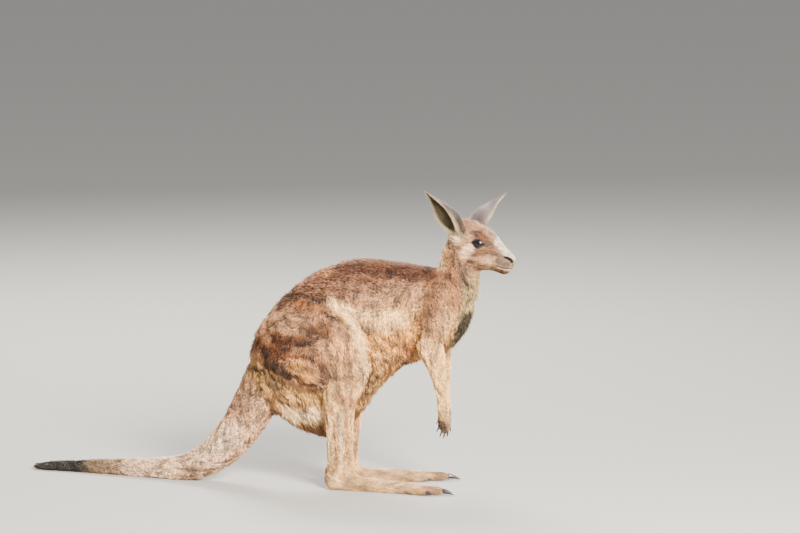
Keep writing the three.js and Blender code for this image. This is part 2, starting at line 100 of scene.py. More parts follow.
def bell(value: Array, middle: float, spread: float) -> Array:
    """A soft bump of height one over its middle."""
    return np.exp(-(((value - middle) / spread) ** 2))


def unit(vectors: Array) -> Array:
    """Vectors scaled to length one."""
    return vectors / np.maximum(np.linalg.norm(vectors, axis=-1, keepdims=True), 1e-9)


def dots(first: Array, second: Array) -> Array:
    """The dot product of each row of one list with the same row of another."""
    return np.einsum("ij,ij->i", first, second)


def read_off(table: Sequence[Pair], value: Array) -> Array:
    """Values read off a table of straight runs, whose rows are a place and the value there."""
    places, values = zip(*table)
    return np.interp(value, places, values)


def linear(colour: Sequence[float]) -> Array:
    """An 8-bit display colour as linear light."""
    c = np.asarray(colour, float) / 255.0
    return np.where(c <= 0.04045, c / 12.92, ((c + 0.055) / 1.055) ** 2.4)


def towards(made: Array, colour: Sequence[float], weight: Array) -> None:
    """Draws a list of colours towards a display colour, each by its own weight."""
    made += (linear(colour) - made) * weight[:, None]


LATTICE_STEPS = (374761393, 668265263, 2147483647)
LATTICE_SEED = 974634777
LATTICE_STIR = 1274126177


def lattice(cell: Array, seed: int) -> Array:
    """A repeatable number from -1 to 1 for each whole-numbered cell.

    Args:
        cell: Three whole numbers for each cell.
        seed: Which set of numbers.

    Returns:
        One number a cell.
    """
    a, b, c = LATTICE_STEPS
    h = cell[..., 0] * a + cell[..., 1] * b + cell[..., 2] * c + seed * LATTICE_SEED
    h = (h ^ (h >> 13)) * LATTICE_STIR
    h = h ^ (h >> 16)
    return (h & 0xFFFF) / 32767.5 - 1.0


def noise(points: Array, size: float, seed: int) -> Array:
    """Smooth noise.

    Args:
        points: Places in millimetres, one a row.
        size: The width of a lump of the noise.
        seed: Which noise.

    Returns:
        One number from -1 to 1 for each place.
    """
    p = points / size
    base = np.floor(p).astype(np.int64)
    f = p - base
    f = f * f * (3.0 - 2.0 * f)
    total = np.zeros(len(points))
    for corner in range(8):
        step = np.array([corner & 1, corner >> 1 & 1, corner >> 2 & 1])
        weight = np.prod(np.where(step, f, 1.0 - f), axis=1)
        total += weight * lattice(base + step, seed)
    return total


def row_at(rows: Array, place: Array) -> Array:
    """Sizes at places between rows, by the cubic that the solids are lofted with.

    Args:
        rows: One row of sizes for each rib.
        place: Where, counted along the rows.

    Returns:
        One row of sizes for each place.
    """
    last = len(rows) - 1
    i = np.minimum(np.floor(place).astype(int), last - 1)
    t = (place - i)[:, None]
    a, b = rows[np.maximum(i - 1, 0)], rows[i]
    c, d = rows[i + 1], rows[np.minimum(i + 2, last)]
    rise, fall = (c - a) / 2.0, (d - b) / 2.0
    bend = 3.0 * (c - b) - 2.0 * rise - fall
    turn = 2.0 * (b - c) + rise + fall
    return b + t * (rise + t * (bend + t * turn))


def near_line(places: Array, line: Sequence[Sequence[float]]) -> tuple[Array, Array]:
    """The nearest point of a line of straight runs.

    Args:
        places: One place a row.
        line: The line's corners.

    Returns:
        How far each place is from the line, and the line's direction there.
    """
    corners = np.array(line, float)
    best = np.full(len(places), np.inf)
    way = np.zeros_like(places)
    for a, b in zip(corners[:-1], corners[1:]):
        run = b - a
        t = np.clip((places - a) @ run / (run @ run), 0, 1)
        gap = np.linalg.norm(places - a - t[:, None] * run, axis=1)
        nearer = gap < best
        best[nearer] = gap[nearer]
        way[nearer] = run / np.linalg.norm(run)
    return best, way


# ---- meshes and pieces


def read_list(items: bpy.types.bpy_prop_collection, name: str, wide: int, kind: type = float) -> Array:
    """Reads one property of every item of a mesh's list.

    Args:
        items: The list, such as a mesh's vertices.
        name: The property.
        wide: How many numbers it has.
        kind: The kind of number.

    Returns:
        One row for each item.
    """
    flat = np.empty(len(items) * wide, kind)
    items.foreach_get(name, flat)
    return flat.reshape(-1, wide)


def points_of(mesh: Mesh) -> Array:
    """A mesh's corners in millimetres in the maker's frame."""
    return read_list(mesh.vertices, "co", 3) * METRE - FORWARD


def normals_of(mesh: Mesh) -> Array:
    """A mesh's corner normals."""
    return read_list(mesh.vertex_normals, "vector", 3)


def put_points(mesh: Mesh, points: Array) -> None:
    """Moves a mesh's corners to places in the maker's frame."""
    mesh.vertices.foreach_set("co", ((points + FORWARD) / METRE).ravel())
    mesh.update()


def shade_smooth(mesh: Mesh) -> None:
    """Shades a mesh without its facets."""
    mesh.polygons.foreach_set("use_smooth", np.ones(len(mesh.polygons), bool))


def mesh_of(name: str, points: Array, faces: Array) -> Mesh:
    """A Blender mesh from triangles.

    Args:
        name: The mesh's name.
        points: Corners in millimetres in the maker's frame.
        faces: Three corner numbers for each triangle.

    Returns:
        The mesh, in metres in the model's frame, shaded smooth.
    """
    mesh = bpy.data.meshes.new(name)
    mesh.vertices.add(len(points))
    mesh.vertices.foreach_set("co", ((points + FORWARD) / METRE).ravel())
    mesh.loops.add(faces.size)
    mesh.loops.foreach_set("vertex_index", faces.ravel().astype(np.int32))
    mesh.polygons.add(len(faces))
    mesh.polygons.foreach_set("loop_start", np.arange(0, faces.size, 3, dtype=np.int32))
    shade_smooth(mesh)
    mesh.update(calc_edges=True)
    return mesh


@contextmanager
def opened(mesh: Mesh) -> Iterator[BMesh]:
    """Opens a mesh to be worked on.

    Args:
        mesh: The mesh, which is written back at the end.

    Yields:
        Its corners, edges and faces.
    """
    work = bmesh.new()
    work.from_mesh(mesh)
    yield work
    work.to_mesh(mesh)
    work.free()


def modified(mesh: Mesh, kind: str, **settings: object) -> Mesh:
    """A mesh as one of Blender's modifiers leaves it.

    Args:
        mesh: The mesh, which is used up.
        kind: The modifier's kind.
        settings: Its settings.

    Returns:
        The new mesh.
    """
    holder = bpy.data.objects.new("holder", mesh)
    bpy.context.scene.collection.objects.link(holder)
    modifier = holder.modifiers.new("holder", kind)
    for name, value in settings.items():
        setattr(modifier, name, value)
    evaluated = holder.evaluated_get(bpy.context.evaluated_depsgraph_get())
    made = bpy.data.meshes.new_from_object(evaluated)
    bpy.data.objects.remove(holder)
    bpy.data.meshes.remove(mesh)
    return made


def piece_of(mesh: Mesh, material: Material) -> Object:
    """A piece of the kangaroo that rides on its one body.

    Args:
        mesh: The piece's mesh, whose name it takes.
        material: Its finish.

    Returns:
        The new object.
    """
    piece = bpy.data.objects.new(mesh.name, mesh)
    bpy.context.scene.collection.objects.link(piece)
    mesh.materials.append(material)
    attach(piece, "root")
    return piece


def unwrap(piece: Object) -> None:
    """Lays a piece's surface out flat in the map that its finish is kept in.

    Args:
        piece: The piece, which gets the map.
    """
    piece.data.uv_layers.new(name=MAP_NAME)
    bpy.context.view_layer.objects.active = piece
    piece.select_set(True)
    bpy.ops.object.mode_set(mode="EDIT")
    bpy.ops.mesh.select_all(action="SELECT")
    bpy.ops.uv.smart_project(angle_limit=math.radians(66), island_margin=0.001)
    bpy.ops.object.mode_set(mode="OBJECT")
    piece.select_set(False)


def paint(mesh: Mesh, colours: Array) -> None:
    """Keeps a colour at each of a mesh's corners."""
    layer = mesh.color_attributes.new("Coat", "FLOAT_COLOR", "POINT")
    layer.data.foreach_set("color", np.concatenate([colours, np.ones((len(colours), 1))], 1).ravel())


@dataclass
class Relax:
    """Evens out values over a mesh, each corner with its neighbours."""

    mesh: Mesh
    streak_power: int = 6  # how strictly streaks keep to their way
    streak_step: float = 0.6

    def __post_init__(self) -> None:
        """Reads which corners are neighbours."""
        pairs = read_list(self.mesh.edges, "vertices", 2, np.int32)
        self.near = np.concatenate([pairs[:, 0], pairs[:, 1]])
        self.far = np.concatenate([pairs[:, 1], pairs[:, 0]])
        self.count = len(self.mesh.vertices)
        self.share = 1.0 / np.maximum(np.bincount(self.near, minlength=self.count), 1)

    def __call__(self, values: Array, rounds: int, amount: Array | float = 0.5) -> Array:
        """Evens out.

        Args:
            values: One row for each corner.
            rounds: How many times.
            amount: How far towards the neighbours' mean, for all or for each corner.

        Returns:
            The evened values.
        """
        values = np.array(values, float)
        step = np.asarray(amount, float)
        for _ in range(rounds):
            for column in values.T:
                mean = np.bincount(self.near, column[self.far], self.count) * self.share
                column += (mean - column) * step
        return values

    def even(self, points: Array, rounds: int, amount: Array) -> Array:
        """Takes out the small bumps of a surface without drawing it in.

        Args:
            points: The corners' places.
            rounds: How many times.
            amount: How strongly at each corner, from 0 to 1.

        Returns:
            The new places.
        """
        for _ in range(rounds):
            points = self(points, 1, 0.5 * amount)
            points = self(points, 1, -0.52 * amount)
        return points

    def draw_out(self, values: Array, points: Array, ways: Array, rounds: int) -> Array:
        """Draws values out in streaks.

        Args:
            values: One number for each corner.
            points: The corners' places.
            ways: The direction of the streaks at each corner.
            rounds: How far they are drawn.

        Returns:
            The drawn values, brought back to a mean of 0 and a spread of 1.
        """
        runs = unit(points[self.far] - points[self.near])
        pulls = np.abs(dots(runs, ways[self.near])) ** self.streak_power + 1e-4
        share = 1.0 / np.maximum(np.bincount(self.near, pulls, self.count), 1e-9)
        values = np.array(values, float)
        for _ in range(rounds):
            mean = np.bincount(self.near, pulls * values[self.far], self.count) * share
            values += (mean - values) * self.streak_step
        return (values - values.mean()) / values.std()


# ---- finishes


@dataclass
class NodeBench:
    """A material in the making: its nodes, what they are set to and how they are joined."""

    name: str

    def __post_init__(self) -> None:
        """Starts from a plain shader."""
        self.material = bpy.data.materials.new(self.name)
        self.material.use_nodes = True
        self.shader = self.material.node_tree.nodes["Principled BSDF"]

    def set(self, node: Node, values: dict[str, float | Colour]) -> None:
        """Sets a node's sockets by their names."""
        for socket, value in values.items():
            node.inputs[socket].default_value = value

    def add(self, kind: str, values: dict[str, float | Colour] | None = None) -> Node:
        """Adds a node.

        Args:
            kind: Blender's name for the node, without its first word "ShaderNode".
            values: What its sockets are set to.

        Returns:
            The new node.
        """
        node = self.material.node_tree.nodes.new(f"ShaderNode{kind}")
        self.set(node, values or {})
        return node

    def join(self, source: Node, output: str, target: Node, entry: str) -> None:
        """Joins one node's output to another's input."""
        self.material.node_tree.links.new(source.outputs[output], target.inputs[entry])

    def flecks(self, scale: float, detail: float) -> Node:
        """Adds a fine noise that is fixed to the object.

        Args:
            scale: How fine the noise is.
            detail: How many finer layers it has.

        Returns:
            The noise.
        """
        place = self.add("TexCoord")
        fleck = self.add("TexNoise", {"Scale": scale, "Detail": detail})
        self.join(place, "Object", fleck, "Vector")
        return fleck

    def ramp(self, source: Node, stops: Sequence[tuple[float, Colour]]) -> None:
        """Colours the shader by a node's value.

        Args:
            source: The node.
            stops: Values and the display colours that they get.
        """
        blend = self.add("ValToRGB")
        elements = blend.color_ramp.elements
        while len(elements) < len(stops):
            elements.new(0.5)
        for element, (position, colour) in zip(elements, stops):
            element.position = position
            element.color = (*linear(colour), 1)
        self.join(source, "Fac", blend, "Fac")
        self.join(blend, "Color", self.shader, "Base Color")


@dataclass(frozen=True)
class CoatFinish:
    """Fur: the colour is the tuft's own, broken by fine flecks, with a soft sheen."""

    name: str = "fur"
    roughness: float = 0.62
    sheen: float = 0.12
    sheen_roughness: float = 0.4
    gloss: float = 0.25
    fleck_scale: float = 420.0
    fleck_shades: Pair = (0.86, 1.12)
    bump: float = 0.0
    bump_height: float = 0.0015  # in metres

    def material(self) -> Material:
        """Builds the finish.

        Returns:
            A material that reads the colour attribute "Coat".
        """
        bench = NodeBench(self.name)
        bench.set(bench.shader, {"Roughness": self.roughness, "Sheen Weight": self.sheen,
                                 "Sheen Roughness": self.sheen_roughness, "Specular IOR Level": self.gloss})
        own = bench.add("Attribute")
        own.attribute_name = "Coat"
        fleck = bench.flecks(self.fleck_scale, 3.0)
        dark, light = self.fleck_shades
        shade = bench.add("MapRange", {"From Min": 0.3, "From Max": 0.7, "To Min": dark, "To Max": light})
        bench.join(fleck, "Fac", shade, "Value")
        tint = bench.add("VectorMath")
        tint.operation = "SCALE"
        bench.join(own, "Color", tint, "Vector")
        bench.join(shade, "Result", tint, "Scale")
        bench.join(tint, "Vector", bench.shader, "Base Color")
        if self.bump:
            relief = bench.add("Bump", {"Strength": self.bump, "Distance": self.bump_height})
            bench.join(fleck, "Fac", relief, "Height")
            bench.join(relief, "Normal", bench.shader, "Normal")
        return bench.material


@dataclass(frozen=True)
class HornFinish:
    """Claw horn: near black with fine browner streaks and a low polish."""

    name: str = "horn"
    dark: Colour = (20, 17, 16)
    light: Colour = (62, 52, 45)
    streak_scale: float = 300.0
    roughness: Pair = (0.3, 0.55)
    polish: float = 0.3
    polish_roughness: float = 0.25

    def material(self) -> Material:
        """Builds the finish.

        Returns:
            The horn material.
        """
        bench = NodeBench(self.name)
        bench.set(bench.shader, {"Coat Weight": self.polish, "Coat Roughness": self.polish_roughness})
        streak = bench.flecks(self.streak_scale, 4.0)
        bench.ramp(streak, ((0.42, self.dark), (0.85, self.light)))
        rough = bench.add("MapRange", {"To Min": self.roughness[0], "To Max": self.roughness[1]})
        bench.join(streak, "Fac", rough, "Value")
        bench.join(rough, "Result", bench.shader, "Roughness")
        return bench.material


@dataclass(frozen=True)
class EyeFinish:
    """A wet dark eye: a black pupil in a dark brown iris, under a clear glossy cornea."""

    name: str = "wet_eye"
    roughness: float = 0.2
    gloss: float = 0.15
    cornea: float = 0.45
    cornea_roughness: float = 0.2
    rings: tuple[tuple[float, Colour], ...] = (
        (0.0, (6, 5, 6)), (0.34, (7, 6, 6)), (0.46, (15, 11, 9)), (0.7, (17, 13, 11)), (0.9, (9, 8, 8)),
    )

    def material(self) -> Material:
        """Builds the finish.

        Returns:
            A material that reads the attribute "Ring", which is 0 at the pupil and 1 at the rim.
        """
        bench = NodeBench(self.name)
        bench.set(bench.shader, {"Roughness": self.roughness, "Specular IOR Level": self.gloss,
                                 "Coat Weight": self.cornea, "Coat Roughness": self.cornea_roughness})
        ring = bench.add("Attribute")
        ring.attribute_name = "Ring"
        bench.ramp(ring, self.rings)
        return bench.material


@dataclass(frozen=True)
class FloorFinish:
    """A plain pale studio floor."""

    name: str = "studio_floor"
    colour: Colour = (163, 160, 153)
    roughness: float = 0.9

    def material(self) -> Material:
        """Builds the finish.

        Returns:
            The floor material.
        """
        bench = NodeBench(self.name)
        bench.set(bench.shader, {"Base Color": (*linear(self.colour), 1), "Roughness": self.roughness})
        return bench.material


# ---- the head's own frame


@dataclass(frozen=True)
class HeadFrame:
    """Where the head sits, how far it nods and how far it is turned over the neck."""

    x: float = 425.0
    z: float = 575.0
    nod: float = math.radians(15)
    turn: float = math.radians(-8)
    turn_x: float = 446.0

    def matrix(self) -> Array:
        """The 4 by 4 matrix from u, y, v to the maker's frame."""
        made = (
            Matrix.Translation((self.turn_x, 0, 0))
            @ Matrix.Rotation(self.turn, 4, "Z")
            @ Matrix.Translation((self.x - self.turn_x, 0, self.z))
            @ Matrix.Rotation(self.nod, 4, "Y")
        )
        return np.array(made)

    def into(self, points: Array) -> Array:
        """Places in the maker's frame as u, y, v."""
        m = np.linalg.inv(self.matrix())
        return points @ m[:3, :3].T + m[:3, 3]

    def out(self, points: Array) -> Array:
        """Places in u, y, v in the maker's frame."""
        m = self.matrix()
        return points @ m[:3, :3].T + m[:3, 3]

    def turned_out(self, directions: Array) -> Array:
        """Directions in u, y, v in the maker's frame."""
        return directions @ self.matrix()[:3, :3].T


@dataclass(frozen=True)
class EyeShape:
    """The eye and its lids: the middle of the ball, its radius, and the opening between the lids."""

    u: float = 65.0
    v: float = 25.5
    y: float = 28.5
    radius: float = 15.5
    long: float = 26.5
    high: float = 16.0
    tilt: float = math.radians(8)
    lean: float = 0.85  # turns the height over a lid into the distance from its edge

    def from_ball(self, heads: Array) -> Array:
        """Places of the head, folded on to its left half and counted from the middle of the ball."""
        return sided(heads) - [self.u, self.y, self.v]

    def opening(self, around: Array) -> Array:
        """How far outside the opening between the lids places lie.

        Args:
            around: Places as u, y, v, counted from the middle of the ball.

        Returns:
            Millimetres, under 0 inside the opening.
        """
        s = around[:, 0] * math.cos(self.tilt) + around[:, 2] * math.sin(self.tilt)
        t = -around[:, 0] * math.sin(self.tilt) + around[:, 2] * math.cos(self.tilt)
        half, bow = self.long / 2.0, self.high / 2.0
        lens = np.abs(t) - bow * (1.0 - np.minimum(np.abs(s) / half, 1.0) ** 2)
        past = np.hypot(np.maximum(np.abs(s) - half, 0.0), t)
        return np.where(np.abs(s) < half, lens * self.lean, past)


HEAD = HeadFrame()
EYE = EyeShape()

# Lines of the face as u and v, and as u, y and v
MOUTH = ((156, -11), (150, -12.9), (138, -15.5), (124, -15.6), (110, -13.5))
NOSTRIL = ((128, 17, 9.6), (134, 14, 8.4), (141, 12, 6.0), (147.4, 10.5, 2.9))
PHILTRUM = ((147.6, 10.2, 1.8), (148.6, 10.5, -4), (149.6, 7, -11.5))
# How wide the nostril's comma is to each side of its line, by u
NOSTRIL_WIDTHS = ((125, 0.8), (130, 2.4), (136, 3.3), (142, 3.5), (147, 3.0), (150, 1.8))
NOSTRIL_SIGHT = np.array([1.0, 0.3, 1.0])  # the hollow is deep, so its line is found mostly from the side


def sided(heads: Array) -> Array:
    """Places of the head folded on to its left half."""
    return heads * [1, 0, 1] + np.abs(heads) * [0, 1, 0]


def mouth_gap(heads: Array) -> Array:
    """How far places are from the line of the mouth, seen from the side."""
    return near_line(heads[:, [0, 2]], MOUTH)[0]


def nostril_gap(heads: Array) -> Array:
    """How far places are outside the comma of the nearer nostril.

    Args:
        heads: Places as u, y, v.

    Returns:
        Millimetres, under 0 inside the nostril.
    """
    folded = sided(heads) * NOSTRIL_SIGHT
    gap, _ = near_line(folded, np.array(NOSTRIL) * NOSTRIL_SIGHT)
    return gap - read_off(NOSTRIL_WIDTHS, folded[:, 0])


def philtrum_gap(heads: Array) -> Array:
    """How far places are from the groove between the nearer nostril and the mouth."""
    return near_line(sided(heads), PHILTRUM)[0]


# ---- ears


@dataclass
class Ear:
    """One ear: a leaf rolled into a cup, with sizes from its root to its tip."""

    side: str
    root: Place
    tip: Place
    bulge: Place  # how far its middle stands off the straight line
    open: Place  # the way its cup opens
    roll: Sequence[float] = (9, 14, 21, 27, 30, 29, 24, 17, 9.5, 3.4)
    wrap: Sequence[float] = (150, 140, 122, 106, 96, 88, 80, 72, 64, 56)
    thickness: Sequence[float] = (4.5, 4, 3.6, 3.3, 3, 2.8, 2.6, 2.3, 2, 1.4)
    inset: float = 0.9  # how far the skin lies under the solid's surface
    lining: float = 1.2  # how far the inner skin lies in, as a share of the inset
    least: float = 0.6  # the least radius of the inner skin
    seat: float = 0.35  # how deep its line runs in the cup, as a share of the roll
    rings: int = 34
    arc: int = 22

    def sizes(self, values: Sequence[float], share: Array) -> Array:
        """A list of sizes read at shares of the ear's length."""
        return row_at(np.array(values, float)[:, None], share * (len(values) - 1))[:, 0]

    def build(self) -> tuple[Array, Array, Array]:
        """Builds the closed cup.

        Returns:
            Its corners, its triangles, and for each corner how far it is up the ear, how near the rim it is,
            and whether it is on the inner side.
        """
        share = np.linspace(0, 1, self.rings + 1)
        start, end = np.array(self.root, float), np.array(self.tip, float)
        middle = (start + end) / 2 + np.array(self.bulge)
        s = share[:, None]
        centre = (1 - s) ** 2 * start + 2 * s * (1 - s) * middle + s**2 * end
        along = unit(2 * (1 - s) * (middle - start) + 2 * s * (end - middle))
        opening = np.array(self.open, float)
        opening = unit(opening - along * (along @ opening)[:, None])
        across = np.cross(along, opening)
        outer = self.sizes(self.roll, share) - self.inset
        inner = outer + self.inset * self.lining - self.sizes(self.thickness, share)
        inner = np.maximum(inner, self.least)
        wrap = np.radians(self.sizes(self.wrap, share))
        turns = np.linspace(-1, 1, self.arc + 1)
        rows, marks = [], []
        for radius, sign, inside in ((outer, 1, 0.0), (inner, -1, 1.0)):
            for turn in turns * sign:
                angle = wrap * turn
                out = across * (radius * np.sin(angle))[:, None]
                deep = opening * (outer * self.seat - radius * np.cos(angle))[:, None]
                rows.append(centre + out + deep)
                rim, side = np.full_like(share, abs(turn)), np.full_like(share, inside)
                marks.append(np.stack([share, rim, side], 1))
        points = np.stack(rows, 1).reshape(-1, 3)
        return points, self.faces(points, len(rows)), np.stack(marks, 1).reshape(-1, 3)

    def faces(self, points: Array, count: int) -> Array:
        """Joins the rings, and closes the cup at its root and its tip.

        Args:
            points: The corners, ring by ring.
            count: How many there are to a ring.

        Returns:
            Triangles that all face out.
        """
        made = []
        for ring in range(self.rings):
            for k in range(count):
                a, b = ring * count + k, ring * count + (k + 1) % count
                made += [(a, b, b + count), (a, b + count, a + count)]
        last = self.rings * count
        for k in range(count // 2 - 1):
            j = count - 1 - k
            made += [(k + 1, k, j), (k + 1, j, j - 1)]
            made += [(last + k, last + k + 1, last + j), (last + k + 1, last + j - 1, last + j)]
        made = np.array(made)
        a, b, c = (points[made[:, i]] for i in range(3))
        inside_out = np.einsum("ij,ij->", a, np.cross(b, c)) < 0
        return made[:, ::-1] if inside_out else made


EARS = (
    Ear("right", (456, -24, 603), (370, -76, 703), (1, -2, -1), (-0.75, -0.8, -0.45)),
    Ear("left", (445, 21, 602), (534, 98, 682), (-5, 8, -9), (0.85, 0.2, -0.75)),
)


# ---- where the hair lies and what colour it is


@dataclass(frozen=True)
class Pelt:
    """The coat of one part of the body."""

    depth: float  # how far the hide lies under the coat's outline
    length: float
    width: float
    dense: float  # tufts to a square centimetre
    clump: float = 0.4  # how far the tips draw together in locks
    bend: float = 0.25  # how far a tuft strays sideways, as a share of its length
    spike: bool = False  # short plain hairs in place of bent tufts


PELTS = {
    Part.TRUNK: Pelt(7.5, 17, 1.65, 28),
    Part.NECK: Pelt(7.0, 15, 1.65, 30, 0.5),
    Part.HEAD: Pelt(2.6, 8, 1.15, 63, 0.4, 0.22),
    Part.TAIL_BASE: Pelt(5.5, 13, 1.7, 27),
    Part.TAIL_MIDDLE: Pelt(4.5, 11, 1.6, 29),
    Part.TAIL_TIP: Pelt(4.0, 11, 1.6, 34),
    Part.THIGH: Pelt(7.0, 16, 1.7, 29),
    Part.SHANK: Pelt(3.0, 8.5, 1.35, 35, 0.3, 0.2),
    Part.FOOT: Pelt(2.0, 7, 1.6, 40, 0.2, 0.2, True),
    Part.UPPER_ARM: Pelt(5.0, 13, 1.6, 31),
    Part.FOREARM: Pelt(3.3, 9, 1.35, 35, 0.3, 0.2),
    Part.PAW: Pelt(1.4, 5, 1.4, 55, 0.2, 0.2, True),
    Part.EAR: Pelt(0.9, 5.2, 0.9, 62, 0.2, 0.25, True),
}
MUZZLE_DEPTH = ((25, 1.25), (80, 0.75), (122, 0.42))  # the depth of the head's coat by u, as a share


def coat_depth(blend: Array, heads: Array) -> Array:
    """How far the hide lies under the coat's outline.

    Args:
        blend: How far each place belongs to each part.
        heads: The places as u, y, v.

    Returns:
        Millimetres at each place, least at the end of the muzzle.
    """
    table = np.array([PELTS[part].depth for part in Part])
    muzzle = read_off(MUZZLE_DEPTH, heads[:, 0])
    return blend @ table * (1 + blend[:, Part.HEAD.value] * (muzzle - 1))


class Side(Enum):
    """Which half of the body a mark is on."""

    RIGHT = -1
    BOTH = 0
    LEFT = 1


class Plane(Enum):
    """What a mark's places are measured in: x and z of the maker's frame, or u and v of the head."""

    BODY = "body"
    HEAD = "head"


@dataclass(frozen=True)
class Mark:
    """A patch or streak of the coat, along a line seen from the side; some marks are painted shade, painted
    shadow or painted highlight.
    """

    name: str
    line: Line
    radius: float
    colour: Colour
    strength: float = 1.0
    parts: tuple[Part, ...] = ()
    plane: Plane = Plane.BODY
    side: Side = Side.BOTH
    dent: float = 0.0  # how far the hide is pressed in, or out where it is under 0
    comb: Pair | None = None  # the way the hair lies there, seen from the side
    length: float = 1.0  # how much longer the hair is
    lift: float = 0.0  # how much further it stands out, as a share of its depth
    ragged: float = 0.3  # how far its edge wanders, as a share of the radius
    middle: float | None = None  # how far to each side of the animal's middle it reaches
    core: float = 0.4  # how much of the radius shows in full

    def weight(self, points: Array, shares: Array, heads: Array) -> Array:
        """How strongly the mark shows.

        Args:
            points: Places in the maker's frame.
            shares: How far each belongs to each part.
            heads: The same places as u, y, v.

        Returns:
            One number from 0 to 1 for each place.
        """
        own = points if self.plane is Plane.BODY else heads
        gap, _ = near_line(own[:, [0, 2]], self.line)
        seed = sum(ord(letter) for letter in self.name)
        gap = gap * (1 + self.ragged * noise(points, self.radius * 0.9 + 3, seed))
        gap += self.ragged * 0.35 * self.radius * noise(points, self.radius * 0.3 + 2, seed + 1)
        found = smooth(1.0, self.core, gap / self.radius)
        if self.side is not Side.BOTH:
            found = found * smooth(-6, 6, points[:, 1] * self.side.value)
        if self.middle is not None:
            found = found * smooth(self.middle, self.middle * 0.6, np.abs(own[:, 1]))
        parts = self.parts or ((Part.HEAD,) if self.plane is Plane.HEAD else ())
        if parts:
            found = found * shares[:, [part.value for part in parts]].sum(1)
        return found


def face(name: str, line: Line, radius: float, colour: Colour, strength: float, **more: object) -> Mark:
    """A mark of the head, whose line is in u and v."""
    return Mark(name, line, radius, colour, strength, plane=Plane.HEAD, **more)


# ---- colours and marks of the coat, some of them painted shade and painted highlights

# The trunk's outline from the rump to the chest: x, its top and its bottom
TRUNK_RIBS = (
    (-54, 306, 268), (-38, 356, 208), (-18, 390, 185), (14, 434, 162), (50, 469, 143), (90, 497, 125),
    (130, 517, 116), (170, 530, 130), (205, 536, 174), (240, 535, 222), (275, 532, 262), (310, 528, 290),
    (345, 523, 307), (380, 521, 318), (412, 514, 332), (440, 496, 350), (476, 443, 433),
)
TAIL_LINE = (
    (2, 272), (-30, 225), (-60, 170), (-95, 113), (-140, 66), (-190, 38), (-240, 26), (-300, 20), (-600, 8),
)

# Colours of the trunk from the belly to the ridge of the back
TRUNK_COLOURS = (
    (0.0, (170, 128, 86)), (0.14, (213, 174, 128)), (0.34, (236, 200, 144)), (0.55, (228, 194, 152)),
    (0.74, (190, 155, 134)), (0.88, (158, 122, 102)), (1.0, (134, 100, 81)),
)
PART_COLOURS = {
    Part.NECK: (169, 133, 106),
    Part.HEAD: (184, 153, 134),
    Part.TAIL_BASE: (200, 168, 148),
    Part.TAIL_MIDDLE: (250, 226, 212),
    Part.TAIL_TIP: (210, 188, 170),
    Part.THIGH: (186, 150, 126),
    Part.SHANK: (254, 220, 180),
    Part.FOOT: (212, 183, 152),
    Part.UPPER_ARM: (192, 155, 128),
    Part.FOREARM: (255, 223, 182),
    Part.PAW: (208, 176, 150),
    Part.EAR: (151, 140, 152),
}

TORSO = (Part.TRUNK,)
HAUNCH = (Part.THIGH, Part.TRUNK, Part.TAIL_BASE)
LEG = (Part.THIGH, Part.SHANK)
TAIL = (Part.TAIL_BASE, Part.TAIL_MIDDLE, Part.TAIL_TIP)
FRONT = (Part.TRUNK, Part.NECK)

FACE_MARKS = (
    face("crown", ((20, 62), (58, 58)), 24, (184, 152, 133), 0.8, length=1.2, lift=0.1),
    face("forehead", ((60, 58), (84, 50)), 14, (198, 165, 145), 0.9, length=1.1, lift=0.1),
    face("bridge_root", ((86, 53), (97, 46)), 9, (186, 172, 166), 0.85, middle=30),
    # Pale stripe down the bridge of the nose: partly the coat's own and partly a painted sunlit highlight.
    face("nose_bridge", ((109, 40), (122, 32), (145, 18)), 16, (238, 228, 226), 1, middle=30, core=0.7,
         ragged=0.15),
    face("brow", ((50, 41), (62, 43), (76, 39)), 9, (140, 100, 77), 1),
    face("brow_line", ((44, 42), (54, 48), (66, 50)), 3.5, (92, 66, 52), 0.8),
    face("before_eye", ((84, 31), (95, 24)), 9, (120, 96, 83), 1),
    face("under_eye", ((58, 4), (84, 9), (104, 8)), 13, (140, 106, 82), 1),
    face("cheek", ((42, -8), (50, 8)), 19, (250, 223, 204), 0.95),
    face("temple", ((30, 18), (44, 30)), 14, (218, 188, 166), 0.8),
    # Darker along the underside of the jaw: partly the coat's own and partly painted shade.
    face("jaw", ((58, -30), (90, -29)), 11, (160, 131, 110), 0.9),
    face("lip_corner", ((90, -10), (112, -9)), 9, (226, 200, 182), 0.85),
    face("muzzle_spot", ((112, 11), (117, 8)), 5, (112, 86, 72), 0.9, ragged=0.1),
    face("muzzle_light", ((98, 1), (112, -1)), 9, (216, 188, 170), 0.75),
    face("muzzle_grey", ((122, 8), (116, -4)), 7, (146, 122, 110), 0.9, ragged=0.1),
    face("muzzle_side", ((122, -3), (142, -6)), 8.5, (138, 126, 127), 1, ragged=0.1),
    # Darker brown under the chin: partly the coat's own and partly painted shade.
    face("chin", ((142, -25), (108, -26)), 9, (132, 108, 84), 0.9),
    face("lower_lip", ((146, -16.5), (120, -18.8)), 3, (226, 212, 198), 0.95, ragged=0.1),
    face("nose_tip", ((151, 4), (151, -9)), 7, (204, 190, 180), 0.9, ragged=0.1),
    face("eye_corner_front", ((78, 26), (86, 24.5)), 2.6, (48, 36, 32), 0.9, ragged=0.1),
    face("eye_corner_rear", ((55, 24), (50, 22.5)), 2.6, (48, 36, 32), 0.9, ragged=0.1),
    face("ear_foot", ((16, 20), (7, 32)), 13, (255, 246, 228), 1, length=1.4),
)

